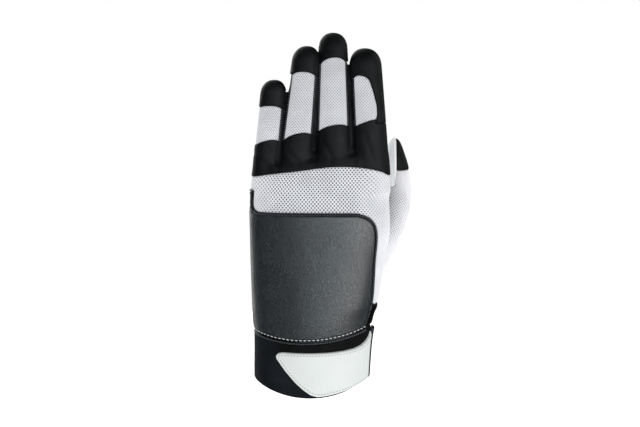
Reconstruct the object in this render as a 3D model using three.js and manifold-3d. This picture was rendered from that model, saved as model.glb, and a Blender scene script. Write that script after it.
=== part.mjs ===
// A left-hand racquet-sport glove, upright and filled out as it looks on a hand.
// Units are millimetres. +Z runs up the fingers, -Y faces out of the back of the hand, and +X is the
// thumb's side. The origin lies on the hand's centre line in the cuff's mouth, where the hand goes in.
//
// The glove is one hollow skin. Stacked rounded sections make the outside of the hand, the fingers and
// the thumb, and the same sections drawn in by the wall's thickness make the inside. The skin is then
// cut along its seams into the sewn panels, and the raised pieces are cut from a thicker skin.
import * as THREE from "three";
import { mergeVertices } from "three/addons/utils/BufferGeometryUtils.js";
import Module from "manifold-3d";

const wasm = await Module();
wasm.setup();

// Driving dimensions
const WALL = 1.5; // leather or mesh with its backing
const SEAM_GAP = 0.36; // between two panels that are sewn edge to edge
const REACH = 120; // half the length of every cutter, more than the glove's half width
const TOP_Z = 250; // above every fingertip
const MOUTH_Z = -14; // the sections start below the rim, and the rim is cut afterwards

const PROUD = { leather: 0.5, padding: 1.5, piping: 1.2, binding: 1.0, cuff: 0.9, vent: 1.8 };
const TAB = { gap: 0.35, thickness: 2.0 }; // the closing tab lies on the cuff
const ANCHOR = { extra: 0.5, palmY: 3.2, width: 3.2 }; // the bound edge that the tab is sewn under

// The hand from the cuff's mouth to the roots of the fingers: where each level section ends at the left
// and right, how deep it is to the back and the palm, and how square it is. tilt lifts its thumb side.
const HAND = [
  { z: MOUTH_Z, left: -37.6, right: 33.4, back: 25.2, palm: 25.0, square: 2.2, tilt: 0 },
  { z: 12, left: -37.6, right: 34.6, back: 24.6, palm: 24.6, square: 2.2, tilt: 0 },
  { z: 34, left: -37.4, right: 36.2, back: 23.0, palm: 23.6, square: 2.2, tilt: 0 },
  { z: 50, left: -38.0, right: 39.2, back: 21.6, palm: 24.0, square: 2.2, tilt: 0 },
  { z: 60, left: -38.4, right: 42.6, back: 20.8, palm: 24.6, square: 2.25, tilt: 0 },
  { z: 84, left: -39.1, right: 46.4, back: 19.0, palm: 25.6, square: 2.3, tilt: 0 },
  { z: 104, left: -39.5, right: 50.2, back: 17.6, palm: 23.8, square: 2.35, tilt: 0 },
  { z: 124, left: -40.2, right: 50.6, back: 16.4, palm: 20.6, square: 2.4, tilt: 0.02 },
  { z: 140, left: -39.6, right: 49.9, back: 14.8, palm: 16.6, square: 2.4, tilt: 0.06 },
  { z: 150, left: -37.4, right: 48.6, back: 12.4, palm: 13.0, square: 2.3, tilt: 0.11 },
  { z: 155, left: -33.6, right: 43.6, back: 8.6, palm: 9.4, square: 2.2, tilt: 0.13 },
];

// Each finger leans from rootX at ROOT_Z to tipX at tipZ, and its half width goes from root to tip.
const ROOT_Z = 138;
const FINGERS = [
  { name: "little", rootX: -30.6, tipX: -24.8, tipZ: 203.6, root: 8.8, tip: 7.8 },
  { name: "ring", rootX: -11.8, tipX: -3.7, tipZ: 225.0, root: 12.1, tip: 8.1 },
  { name: "middle", rootX: 13.7, tipX: 13.5, tipZ: 233.2, root: 13.1, tip: 8.6 },
  { name: "index", rootX: 38.4, tipX: 33.5, tipZ: 223.0, root: 12.4, tip: 9.4 },
];
const FINGER_DEPTH = 0.9; // depth over width
const FINGER_SQUARE = 2.3;
const FINGER_STEPS = 4;
const CURL = { startZ: 150, endZ: 233, startY: -1, endY: 10 }; // fingers bend a little to the palm

// Closed fingers press each other flat along these lines. The web is where each pair parts.
const FINGER_GAP = 0.4;
const GAPS = [
  { x: -22.9, lean: 0.098, webZ: 148.4 },
  { x: 0.5, lean: 0.049, webZ: 151.4 },
  { x: 26.2, lean: -0.027, webZ: 154.6 },
];

// The thumb stands in front of the palm, free of it above the crotch.
const THUMB = [
  { z: 56, x: 27, y: 8, halfWidth: 10.5, halfDepth: 10 },
  { z: 74, x: 33.6, y: 14, halfWidth: 12.8, halfDepth: 13 },
  { z: 90, x: 41.8, y: 20.5, halfWidth: 13.2, halfDepth: 13.2 },
  { z: 105, x: 49.6, y: 26, halfWidth: 12.2, halfDepth: 12.6 },
  { z: 120, x: 54, y: 30, halfWidth: 11.6, halfDepth: 12.2 },
  { z: 133, x: 55.2, y: 32.6, halfWidth: 10.6, halfDepth: 11.6 },
  { z: 144, x: 55.4, y: 34.2, halfWidth: 8.6, halfDepth: 10.4 },
  { z: 153, x: 55.2, y: 35, halfWidth: 6.1, halfDepth: 8.4 },
  { z: 160, x: 55.2, y: 35.4, halfWidth: 3.4, halfDepth: 5.2 },
  { z: 163, x: 55.2, y: 35.6, halfWidth: 1.1, halfDepth: 1.6 },
];
const THUMB_SQUARE = 2.15;

const HAND_SIDES = 28;
const FINGER_SIDES = 14;
const DOME_ANGLES = [28, 52, 74]; // degrees up the round end of a finger

// Solids

// A closed geometry as a manifold solid, turned the right way out.
function solidOf(geometry) {
  const bare = new THREE.BufferGeometry().setAttribute("position", geometry.getAttribute("position"));
  bare.setIndex(geometry.index);
  const merged = mergeVertices(bare, 1e-4);
  const triVerts = new Uint32Array(merged.index.array);
  const vertProperties = merged.attributes.position.array;
  const solid = new wasm.Manifold(new wasm.Mesh({ numProp: 3, vertProperties, triVerts }));
  if (solid.volume() > 0) return solid;
  for (let i = 0; i < triVerts.length; i += 3) {
    [triVerts[i + 1], triVerts[i + 2]] = [triVerts[i + 2], triVerts[i + 1]];
  }
  return new wasm.Manifold(new wasm.Mesh({ numProp: 3, vertProperties, triVerts }));
}

const union = (solids) => solids.reduce((all, one) => all.add(one));

// Skins a stack of rings that have the same number of points, and closes both ends.
function loft(rings) {
  const sides = rings[0].length;
  const middle = (ring) =>
    ring.reduce((sum, point) => sum.add(point), new THREE.Vector3()).divideScalar(sides);
  const points = [...rings.flat(), middle(rings[0]), middle(rings[rings.length - 1])];
  const index = [];
  const bottom = rings.length * sides;
  for (let i = 0; i < sides; i++) {
    const next = (i + 1) % sides;
    for (let r = 0; r + 1 < rings.length; r++) {
      const low = r * sides;
      const high = low + sides;
      index.push(low + i, low + next, high + next, low + i, high + next, high + i);
    }
    index.push(bottom, next, i);
    index.push(bottom + 1, (rings.length - 1) * sides + i, (rings.length - 1) * sides + next);
  }
  const geometry = new THREE.BufferGeometry().setFromPoints(points);
  geometry.setIndex(index);
  return solidOf(geometry);
}

// One level section: a superellipse whose back and palm depths may differ.
function section({ x, y, z, halfWidth, back, palm, square, tilt = 0 }, sides) {
  const squared = (value) => Math.sign(value) * Math.abs(value) ** (2 / square);
  return Array.from({ length: sides }, (_, i) => {
    const angle = (2 * Math.PI * i) / sides;
    const across = halfWidth * squared(Math.cos(angle));
    const depth = squared(Math.sin(angle)) * (Math.sin(angle) < 0 ? back : palm);
    return new THREE.Vector3(x + across, y + depth, z + tilt * across);
  });
}

// Forms

const share = (value, low, high) => Math.min(1, Math.max(0, (value - low) / (high - low)));

// The middle of the fingers' depth at a height, which is also the middle of the hand's side seam.
function middleY(z) {
  return CURL.startY + (CURL.endY - CURL.startY) * share(z, CURL.startZ, CURL.endZ) ** 2;
}

function handForm(grow) {
  return loft(
    HAND.map((row, i) =>
      section(
        {
          x: (row.left + row.right) / 2,
          y: 0,
          z: row.z + (i === HAND.length - 1 ? grow : 0),
          halfWidth: (row.right - row.left) / 2 + grow,
          back: row.back + grow,
          palm: row.palm + grow,
          square: row.square,
          tilt: row.tilt,
        },
        HAND_SIDES,
      ),
    ),
  );
}

function fingerForm({ rootX, tipX, tipZ, root, tip }, grow) {
  const domeZ = tipZ - tip * 1.15;
  const at = (z, scale) => {
    const along = share(z, ROOT_Z, tipZ);
    const half = (root + (tip - root) * along + grow) * scale;
    const depth = half * FINGER_DEPTH;
    const x = rootX + (tipX - rootX) * along;
    return section(
      { x, y: middleY(z), z, halfWidth: half, back: depth, palm: depth, square: FINGER_SQUARE },
      FINGER_SIDES,
    );
  };
  const rings = [];
  for (let step = 0; step <= FINGER_STEPS; step++) {
    rings.push(at(ROOT_Z + ((domeZ - ROOT_Z) * step) / FINGER_STEPS, 1));
  }
  for (const angle of DOME_ANGLES) {
    const lean = THREE.MathUtils.degToRad(angle);
    rings.push(at(domeZ + (tipZ + grow - domeZ) * Math.sin(lean), Math.cos(lean)));
  }
  rings.push(at(tipZ + grow, 0.12));
  return loft(rings);
}

const gapX = ({ x, lean }, z) => x + lean * (z - ROOT_Z);

// The room between a finger's two neighbours, drawn in on both sides by a margin.
function fingerRoom(i, margin) {
  const edge = (gap, side, far) => (z) => (gap ? gapX(gap, z) - side * margin : far);
  const left = edge(GAPS[i - 1], -1, -REACH);
  const right = edge(GAPS[i], 1, REACH);
  return [
    [left(0), 0],
    [right(0), 0],
    [right(TOP_Z), TOP_Z],
    [left(TOP_Z), TOP_Z],
  ];
}

function thumbForm(grow) {
  const last = THUMB.length - 1;
  return loft(
    THUMB.map((row, i) => {
      const halfWidth = Math.max(0.4, row.halfWidth + grow);
      const depth = Math.max(0.5, row.halfDepth + grow);
      const z = row.z + (i >= last - 1 ? grow : 0);
      return section(
        { x: row.x, y: row.y, z, halfWidth, back: depth, palm: depth, square: THUMB_SQUARE },
        FINGER_SIDES,
      );
    }),
  );
}

// The whole hand's form, grown or drawn in. Neighbouring fingers keep their gap at any growth.
function wholeForm(grow) {
  const margin = FINGER_GAP / 2 + Math.max(0, -grow);
  const fingers = FINGERS.map((finger, i) =>
    fingerForm(finger, grow).intersect(prism(fingerRoom(i, margin))),
  );
  return union([handForm(grow), thumbForm(grow), ...fingers]);
}

// Cutters

// The closed outline moved outwards by a distance, or inwards by a negative one.
function offsetOutline(points, distance) {
  const turn = points.reduce((sum, [x, z], i) => {
    const [nextX, nextZ] = points[(i + 1) % points.length];
    return sum + x * nextZ - nextX * z;
  }, 0);
  const way = Math.sign(turn) * distance;
  return points.map(([x, z], i) => {
    const [lastX, lastZ] = points[(i + points.length - 1) % points.length];
    const [nextX, nextZ] = points[(i + 1) % points.length];
    const before = new THREE.Vector2(z - lastZ, lastX - x).normalize();
    const after = new THREE.Vector2(nextZ - z, x - nextX).normalize();
    const out = before.clone().add(after).normalize();
    const miter = Math.min(2, 1 / Math.max(0.5, out.dot(after)));
    return [x + out.x * way * miter, z + out.y * way * miter];
  });
}

// An outline drawn on an upright plane and carried straight through the glove. turn is the plane's
// angle about Z: 0 draws on the front view, and 90 on the side view, where the outline's x is Y.
function prism(points, turn = 0) {
  const shape = new THREE.Shape(points.map(([x, z]) => new THREE.Vector2(x, z)));
  const geometry = new THREE.ExtrudeGeometry(shape, { depth: 2 * REACH, bevelEnabled: false });
  const lean = THREE.MathUtils.degToRad(turn);
  const across = new THREE.Vector3(Math.cos(lean), Math.sin(lean), 0);
  const up = new THREE.Vector3(0, 0, 1);
  const through = across.clone().cross(up);
  geometry.translate(0, 0, -REACH);
  geometry.applyMatrix4(new THREE.Matrix4().makeBasis(across, up, through));
  geometry.deleteAttribute("normal");
  geometry.deleteAttribute("uv");
  return solidOf(geometry);
}

// Everything on the back's side of the side seam, which lies limit behind the fingers' middle.
const SEAM_STATIONS = [MOUTH_Z - 6, 150, 172, 194, 214, 250];
function backSide(limit) {
  const seam = SEAM_STATIONS.map((z) => [middleY(z) + limit, z]);
  return prism([[-REACH, SEAM_STATIONS[0]], ...seam, [-REACH, SEAM_STATIONS.at(-1)]], 90);
}

// Seams and edges, as seen from the front: x across, z up

const SIDE_SEAM = 3.4; // how far the back's panels wrap past the middle of the hand's sides
const FAR = 70; // past the glove's sides

const wristSeamZ = (x) => 37.8 + 0.0042 * (x + 4) ** 2 + 0.02 * x;
const bindingZ = (x) => wristSeamZ(x) - 3.4;
const rimZ = (x) => 0.2 + 0.0066 * (x + 1.5) ** 2;
const knuckleLowZ = (x) => 148.9 - 0.0021 * (x - 14) ** 2;

// Points along a height function, from one x to another.
function along(height, fromX, toX, steps) {
  return Array.from({ length: steps + 1 }, (_, i) => {
    const x = fromX + ((toX - fromX) * i) / steps;
    return [x, height(x)];
  });
}

// A smooth line through a few points, and a polyline of straight steps along it.
function smooth(points, steps) {
  const curve = new THREE.SplineCurve(points.map(([x, z]) => new THREE.Vector2(x, z)));
  return curve.getPoints(steps).map((point) => [point.x, point.y]);
}

// The piping's outer edge, from low on the thumb's side, up and over to the little finger's side.
const PANEL_SIDE = [
  [34.6, 46.5],
  [36.8, 54],
  [38.9, 63],
  [39.9, 74],
  [40.7, 88],
  [41.6, 98],
];
const PANEL_CORNER = [
  [41.8, 105],
  [40.4, 111.5],
  [36.4, 116],
  [30.5, 118.4],
  [24, 119.1],
];
const PANEL_TOP = [
  [-6, 119.3],
  [-33, 119.2],
  [-36.6, 120.4],
  [-38.4, 123.6],
  [-39.2, 133],
];
const pipingEdge = smooth([...PANEL_SIDE, ...PANEL_CORNER, ...PANEL_TOP], 24);
const PIPING_WIDTH = 1.7;

// The backs of the fingers: where each mesh panel's corners and the middles of its ends lie.
const FINGER_PANELS = [
  {
    name: "little",
    lowLeft: [-38.5, 160.6],
    lowMiddle: [-28.4, 165.2],
    lowRight: [-21.4, 164.7],
    topRight: [-19.4, 185.4],
    topMiddle: [-26.4, 187.3],
    topLeft: [-36, 185],
  },
  {
    name: "ring",
    lowLeft: [-17.2, 166.6],
    lowMiddle: [-8.2, 169.8],
    lowRight: [-0.6, 169.1],
    topRight: [2, 206.4],
    topMiddle: [-5.6, 208.9],
    topLeft: [-12.9, 207.2],
  },
  {
    name: "middle",
    lowLeft: [3.9, 171],
    lowMiddle: [14.6, 175.2],
    lowRight: [22.8, 174.2],
    topRight: [21.4, 215.4],
    topMiddle: [13.4, 217.9],
    topLeft: [5.2, 213.9],
  },
  {
    name: "index",
    lowLeft: [27.5, 174.1],
    lowMiddle: [35, 177.4],
    lowRight: [40.2, 178.6],
    topRight: [36.6, 203.2],
    topMiddle: [31.6, 206.4],
    topLeft: [26.2, 204.9],
  },
];
// The index finger's mesh bulges towards the thumb on that side.
const INDEX_SIDE = [
  [41.6, 181.4],
  [41.4, 187],
  [39, 196.4],
];
const lowEdge = (panel) => smooth([panel.lowLeft, panel.lowMiddle, panel.lowRight], 6);
const topEdge = (panel) => smooth([panel.topRight, panel.topMiddle, panel.topLeft], 6);

function meshOutline(panel) {
  const side = panel.name === "index" ? INDEX_SIDE : [];
  return [...lowEdge(panel), ...side, ...topEdge(panel)];
}

// A tip's cap reaches from the mesh's top edge over the finger's end. The index finger's goes on down
// its thumb side to the knuckle band.
const BAND_TOP = [
  [40.6, 176.4],
  [FAR, 174],
];
function capOutline(panel, i) {
  const step = 0.8; // the cap's corners drop this far beside the mesh
  const leftX = (z) => (i === 0 ? -FAR : gapX(GAPS[i - 1], z));
  const [leftZ, rightZ] = [panel.topLeft[1] - step, panel.topRight[1] - step];
  const rightSide = GAPS[i]
    ? [
        [gapX(GAPS[i], rightZ), rightZ],
        [gapX(GAPS[i], TOP_Z), TOP_Z],
      ]
    : [...INDEX_SIDE.toReversed(), ...BAND_TOP, [FAR, TOP_Z]];
  return [[leftX(leftZ), leftZ], ...topEdge(panel).toReversed(), ...rightSide, [leftX(TOP_Z), TOP_Z]];
}

// The knuckle band: an arched lower edge, and a scallop at the foot of each finger.
const NOTCH = 1.5; // half the width of the band's notch at a web
function knuckleOutline() {
  const upper = FINGER_PANELS.flatMap((panel, i) => {
    const web = GAPS[i];
    if (!web) return lowEdge(panel);
    const webX = gapX(web, web.webZ);
    return [...lowEdge(panel), [webX - NOTCH, web.webZ], [webX + NOTCH, web.webZ]];
  });
  return [[-FAR, 158], ...upper, ...BAND_TOP, ...along(knuckleLowZ, FAR, -FAR, 20)];
}

const tabOutline = [
  [FAR, 38.6],
  [38, 38.6],
  [33, 36],
  [27, 33.4],
  [19, 31.4],
  [9, 30.4],
  [-3, 30.2],
  [-20, 30.6],
  [-22.6, 30],
  [-23.9, 28.2],
  [-23.4, 26.2],
  [-17.4, 18.2],
  [-10.6, 10.6],
  [-5.6, 6],
  [-1.4, 3],
  [3, 1.6],
  [9, 2.2],
  [16, 3.6],
  [24, 5.6],
  [31, 8.4],
  [38, 11],
  [FAR, 11],
];

const ventOutline = [
  [34.2, 45.4],
  [35.2, 51],
  [36.6, 55.4],
  [38.2, 57.2],
  [40.2, 56.4],
  [FAR, 53],
  [FAR, 43.6],
];

// Cutting the skin into panels

const inside = wholeForm(-WALL);
const skins = new Map();
const skin = (proud) => {
  if (!skins.has(proud)) skins.set(proud, wholeForm(proud).subtract(inside));
  return skins.get(proud);
};

const belowRim = prism([...along(rimZ, -FAR, FAR, 20), [FAR, -REACH], [-FAR, -REACH]]);
let taken = belowRim;
const pieces = new Map();

// region(grow) gives a cutter. The panel keeps what the shrunk cutter holds of the skin that is left,
// and later panels lose what the grown one holds, so that half of the seam's gap comes off each side.
function carve(name, region, proud = 0) {
  pieces.set(name, skin(proud).intersect(region(-SEAM_GAP / 2)).subtract(taken));
  taken = taken.add(region(SEAM_GAP / 2));
}

const allRound = (outline) => (grow) => prism(offsetOutline(outline, grow));
const onBack = (outline) => (grow) => allRound(outline)(grow).intersect(backSide(SIDE_SEAM + grow));
const both = (first, second) => (grow) => first(grow).intersect(second(grow));

// Cuff and what closes it
const cuffOutline = [...along(bindingZ, -FAR, FAR, 20), [FAR, -REACH], [-FAR, -REACH]];
carve("cuff", allRound(cuffOutline), PROUD.cuff);

const tabInner = PROUD.cuff + TAB.gap;
const tabSkin = handForm(tabInner + TAB.thickness).subtract(handForm(tabInner));
const tabRegion = prism(tabOutline).intersect(backSide(ANCHOR.palmY - ANCHOR.width - SEAM_GAP));
pieces.set("closure_tab", tabSkin.intersect(tabRegion));

const anchorSkin = handForm(tabInner + TAB.thickness + ANCHOR.extra).subtract(handForm(tabInner));
const anchorOutline = [
  [20, 41],
  [FAR, 41],
  [FAR, 9.5],
  [20, 9.5],
];
const anchorRegion = prism(anchorOutline)
  .intersect(backSide(ANCHOR.palmY))
  .subtract(backSide(ANCHOR.palmY - ANCHOR.width));
pieces.set("tab_anchor", anchorSkin.intersect(anchorRegion));

// Wrist binding under the padded panel, and the vent's rolled edge
carve("vent_binding", onBack(ventOutline), PROUD.vent);
const bindingOutline = [...along(bindingZ, -FAR, FAR, 20), ...along(wristSeamZ, FAR, -FAR, 20)];
const beforeVent = prism([
  [-FAR, 0],
  [34.6, 0],
  [34.6, 60],
  [-FAR, 60],
]);
carve(
  "wrist_binding",
  (grow) => onBack(bindingOutline)(grow).intersect(beforeVent),
  PROUD.binding,
);

// Thumb: its palm side is cut off by an outline on a plane turned towards the thumb, and its back by
// the seam that runs up the thumb's far side from the wrist
const THUMB_TURN = 42;
const thumbOutline = [
  [44.6, 175],
  [44.6, 112],
  [47, 96],
  [50, 84],
  [REACH, 84],
  [REACH, 175],
];
const thumbSideOutline = [
  [44.6, 175],
  [44.6, 112],
  [40, 107],
  [32, 100],
  [32, 46],
  [REACH, 46],
  [REACH, 175],
];
const thumbSeam = THUMB.slice(1).map((row) => [row.y + 3 - 0.05 * (row.z - 90), row.z]);
const thumbBackOutline = [[-REACH, 46], [SIDE_SEAM, 46], [9, 56], ...thumbSeam, [-REACH, 175]];
const onThumbBack = (outline) => (grow) =>
  prism(offsetOutline(thumbBackOutline, grow), 90).intersect(
    prism(offsetOutline(outline, grow), THUMB_TURN),
  );
const patchOutline = [
  [55.8, 142.6],
  [55.8, 180],
  [90, 180],
  [90, 142.6],
];
const stripOutline = [
  [20, 124],
  [54.6, 130],
  [55.8, 142.6],
  [55.8, 180],
  [20, 180],
];
const thumbPart = (outline) => both(onThumbBack(thumbOutline), allRound(outline));
carve("thumb_patch", thumbPart(patchOutline), PROUD.leather);
carve("thumb_strip", thumbPart(stripOutline));

// Back of the hand
const pipingOutline = [...pipingEdge, [-FAR, 135], [-FAR, 20], [33.4, 20]];
const panelOutline = offsetOutline(pipingOutline, -PIPING_WIDTH - SEAM_GAP);
const aboveWristSeam = [...along(wristSeamZ, -FAR, FAR, 20), [FAR, 200], [-FAR, 200]];
const panelRegion = (outline) => (grow) =>
  onBack(outline)(grow).intersect(prism(offsetOutline(aboveWristSeam, grow)));
carve("padded_panel", panelRegion(panelOutline), PROUD.padding);
carve("panel_piping", panelRegion(pipingOutline), PROUD.piping);

carve("knuckle_band", onBack(knuckleOutline()), PROUD.leather);
const backMeshOutline = [
  ...along(knuckleLowZ, -FAR, FAR, 20),
  ...along(wristSeamZ, FAR, -FAR, 20),
];
carve("back_mesh", onBack(backMeshOutline));
carve("thumb_mesh", onThumbBack(thumbSideOutline));
carve("thumb_palm", (grow) => prism(offsetOutline(thumbOutline, grow), THUMB_TURN));

// Fingers
for (const [i, panel] of FINGER_PANELS.entries()) {
  carve(panel.name + "_mesh", onBack(meshOutline(panel)));
  carve(panel.name + "_cap", onBack(capOutline(panel, i)), PROUD.leather);
}

// The strips between the fingers, each from the middle of one finger to the middle of the next
const centreX = (finger, z) => finger.rootX + (finger.tipX - finger.rootX) * share(z, ROOT_Z, finger.tipZ);
for (let i = 0; i + 1 < FINGERS.length; i++) {
  const [one, next] = [FINGERS[i], FINGERS[i + 1]];
  const between = [
    [centreX(one, ROOT_Z), ROOT_Z],
    [centreX(next, ROOT_Z), ROOT_Z],
    [centreX(next, next.tipZ), TOP_Z],
    [centreX(one, one.tipZ), TOP_Z],
  ];
  carve(one.name + "_" + next.name + "_gusset", onBack(between));
}
pieces.set("palm_leather", skin(0).subtract(taken));

// Materials and the finished group

const finish = (color, roughness) => new THREE.MeshStandardMaterial({ color, roughness, metalness: 0 });
const FINISHES = {
  mesh: () => finish(0xd9dbe4, 0.85),
  leather: () => finish(0x17191c, 0.5),
  panel: () => finish(0x3c4144, 0.42),
  cuff: () => finish(0x14181f, 0.6),
  tab: () => finish(0xe9ebeb, 0.45),
  trim: () => finish(0x0e1013, 0.5),
};
const FINISH_OF = {
  padded_panel: "panel",
  cuff: "cuff",
  closure_tab: "tab",
  thumb_strip: "tab",
  panel_piping: "trim",
  wrist_binding: "trim",
  vent_binding: "trim",
  tab_anchor: "trim",
};
const finishOf = (name) => FINISH_OF[name] ?? (name.endsWith("_mesh") ? "mesh" : "leather");

// Keeps the largest body of a cut piece, so that crumbs a cutter leaves at a seam's end go.
function largest(solid) {
  return solid.decompose().sort((a, b) => b.volume() - a.volume())[0];
}

function geometryOf(solid) {
  const { numProp, numVert, vertProperties, triVerts } = solid.getMesh();
  const positions = new Float32Array(numVert * 3);
  for (let i = 0; i < numVert; i++) {
    positions.set(vertProperties.subarray(i * numProp, i * numProp + 3), i * 3);
  }
  const geometry = new THREE.BufferGeometry();
  geometry.setAttribute("position", new THREE.BufferAttribute(positions, 3));
  geometry.setIndex(new THREE.BufferAttribute(new Uint32Array(triVerts), 1));
  return geometry;
}

const glove = new THREE.Group();
for (const [name, solid] of pieces) {
  const mesh = new THREE.Mesh(geometryOf(largest(solid)), FINISHES[finishOf(name)]());
  mesh.name = name;
  glove.add(mesh);
}
export default glove;
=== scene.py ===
import math
from collections import namedtuple

import bpy
import numpy as np
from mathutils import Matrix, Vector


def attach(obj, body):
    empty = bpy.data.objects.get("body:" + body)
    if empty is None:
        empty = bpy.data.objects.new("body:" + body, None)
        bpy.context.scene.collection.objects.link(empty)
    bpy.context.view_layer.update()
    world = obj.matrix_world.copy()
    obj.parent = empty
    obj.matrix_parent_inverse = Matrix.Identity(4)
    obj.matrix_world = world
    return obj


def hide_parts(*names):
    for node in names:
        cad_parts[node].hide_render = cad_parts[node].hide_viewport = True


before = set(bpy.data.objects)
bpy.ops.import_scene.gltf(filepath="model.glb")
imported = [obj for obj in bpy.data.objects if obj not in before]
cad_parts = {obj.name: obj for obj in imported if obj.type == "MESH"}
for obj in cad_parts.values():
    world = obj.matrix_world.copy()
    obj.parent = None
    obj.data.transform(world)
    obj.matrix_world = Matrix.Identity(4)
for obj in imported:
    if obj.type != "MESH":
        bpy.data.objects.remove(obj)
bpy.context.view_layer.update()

bl_info = {
    "name": "Pickleball glove",
    "version": (1, 0, 0),
    "blender": (4, 5, 0),
    "location": "View3D > Sidebar > Glove",
    "description": "Sews the panels of a left-hand glove around its CAD frame",
    "category": "Object",
}

# The form of the glove in millimetres. It is that of the CAD, with some outlines moved a little. The
# origin lies in the cuff's mouth, +Z runs up the fingers, -Y faces out of the back of the hand and
# +X is the thumb's side.
MM = 0.001

# z, left, right, depth to the back, depth to the palm, squareness, tilt
HAND = [
    (-14, -37.6, 33.4, 25.2, 25.0, 2.2, 0),
    (12, -37.6, 34.6, 24.6, 24.6, 2.2, 0),
    (34, -37.4, 36.2, 23.0, 23.6, 2.2, 0),
    (50, -38.0, 39.2, 21.6, 24.0, 2.2, 0),
    (60, -38.4, 42.6, 20.8, 24.6, 2.25, 0),
    (84, -39.1, 46.4, 19.0, 25.6, 2.3, 0),
    (104, -39.5, 50.2, 17.6, 23.8, 2.35, 0),
    (124, -39.7, 49.8, 16.4, 20.6, 2.4, 0.02),
    (140, -38.2, 48.7, 14.8, 16.6, 2.4, 0.06),
    (150, -35.8, 47.2, 12.4, 13.0, 2.3, 0.11),
    (155, -32.4, 42.6, 8.6, 9.4, 2.2, 0.13),
]
ROOT_Z = 138
# name, x at the root, x at the tip, z of the tip, half width at the root, half width at the tip
FINGERS = [
    ("little", -30.5, -24.5, 202.9, 8.7, 7.6),
    ("ring", -11.8, -3.5, 224.4, 12.1, 8.0),
    ("middle", 13.7, 13.3, 232.9, 13.1, 8.35),
    ("index", 37.9, 33.8, 223.0, 12.0, 9.5),
]
FINGER_DEPTH = 0.9  # half depth of a finger, as a share of its half width
FINGER_DOME = 1.15  # height of a fingertip's dome, as a share of its half width
FINGER_SQUARE = 2.3
FINGER_FOOT = 130  # where the fingers start, inside the hand
HAND_TOP = 156.5
# x at the root, lean, z of the web
GAPS = [(-22.9, 0.098, 148.4), (0.5, 0.049, 151.4), (26.2, -0.027, 154.6)]
# z, x, y, half width, half depth
THUMB = [
    (56, 27, 8, 10.5, 10),
    (74, 33.6, 14, 12.8, 13),
    (90, 41.8, 20.5, 13.2, 13.2),
    (105, 49.6, 26, 12.2, 12.6),
    (120, 54, 30, 11.6, 12.2),
    (133, 55.2, 32.6, 10.6, 11.6),
    (144, 55.4, 34.2, 8.6, 10.4),
    (153, 55.2, 35, 6.1, 8.4),
    (160, 55.2, 35.4, 3.4, 5.2),
    (163, 55.2, 35.6, 1.1, 1.6),
]
THUMB_SQUARE = 2.15
THUMB_START, THUMB_TOP = 56, 163.3
# How far apart two surfaces are still filleted: at the fingers, more at their roots and less beside
# their tips, where the fingers leave the hand, where the thumb does, and at the ends of each
FINGER_WEB, ROOT_WEB, TIP_WEB = 3.6, 5.0, 1.4
HAND_WEB = 3.2
THUMB_WEB = 5
END_WEB = 4
SIDE_SEAM = 3.4  # how far towards the palm from the middle the panels of the back end
FAR = 70  # beyond the sides of the hand
OUTSIDE = 120  # beyond the glove on any side
HIGH = 250  # above the fingertips
THUMB_CLEAR = 175  # above the thumb's tip
THUMB_FOOT = 46  # the lower end of the thumb's mesh
VENT_X = 34.6  # where the wrist binding ends at the vent
BINDING_WIDTH = 2.9
PIPING_WIDTH = 1.45
PIPING_FOOT = (33.4, 20)  # below the piping's lower right end

PIPING_EDGE = [
    (35.2, 46.5), (37.4, 54), (39.2, 63), (40, 74), (40.7, 88), (41.6, 98),
    (41.8, 105), (40.4, 111.5), (36.4, 116), (30.5, 118.4), (24, 119.1),
    (-6, 119.3), (-32.6, 119.2), (-35.8, 119.6), (-37.6, 121), (-38.3, 123.8), (-38.2, 128),
    (-37.9, 133),
]
# The mesh on the back of each finger: low left, low middle, low right, top right, top middle, top left
FINGER_PANELS = [
    [(-38.5, 160.6), (-28.4, 165.2), (-21.4, 164.7), (-19.4, 185.4), (-26.4, 187.3), (-36, 185)],
    [(-18.4, 165.3), (-8.6, 169.8), (-0.6, 169.1), (2, 206.4), (-5.6, 208.9), (-12.9, 207.2)],
    [(3.9, 171), (14.6, 175.2), (22.8, 174.2), (21.4, 215.4), (13.4, 217.9), (5.2, 213.9)],
    [(27.5, 174.1), (35, 177.4), (40.2, 178.6), (36.6, 203.2), (31.6, 206.4), (26.2, 204.9)],
]
INDEX_SIDE = [(41.6, 181.4), (41.4, 187), (39, 196.4)]
BAND_TOP = [(40.6, 176.4), (FAR, 174)]
HEM_OUTLINE = [(54.1, 132), (55.8, 142.6), (55.8, 180), (54.2, 180), (54.2, 142)]
CAP_OVERLAP = 0.8  # how far a cap runs down beside the mesh
# The notch at each web: its half width, and its points by share of that and height above the web
NOTCH = 2.3
NOTCH_POINTS = [(-1, 5), (-0.95, 1.6), (-0.5, 0.2), (0.5, 0.2), (0.95, 1.6), (1, 5)]
KNUCKLE_EDGE = [
    (-80, 134), (-39.5, 141.7), (-22.7, 144.5), (-8.7, 146.2), (4, 148), (14, 148.9), (26, 148.7),
    (34, 147.8), (40, 146.7), (44.5, 145.4), (48, 143.6), (80, 124),
]
TAB_OUTLINE = [
    (FAR, 41.8), (36.4, 41.6), (35.9, 39.8), (35, 37.6), (33.2, 35.3), (30.4, 33.3), (26, 31.8),
    (19, 30.8), (9, 30.1), (-3, 29.8), (-19, 30), (-21.4, 29.3), (-22.6, 27.6), (-22.3, 25.7),
    (-17.1, 18.2), (-10.6, 10.6), (-5.6, 6), (-1.4, 3),
    (3, 1.6), (9, 2.2), (16, 3.6), (24, 5.6), (31, 8.4), (38, 11), (FAR, 11),
]
TAB_END = -5  # where the tab ends at the hand's side, from the middle towards the palm
ANCHOR_OUTLINE = [(20, 42.8), (FAR, 42.8), (FAR, 9.5), (20, 9.5)]
ANCHOR_FRONT, ANCHOR_BACK = -4.8, 3.2  # where the tab's dark end starts and ends there
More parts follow.
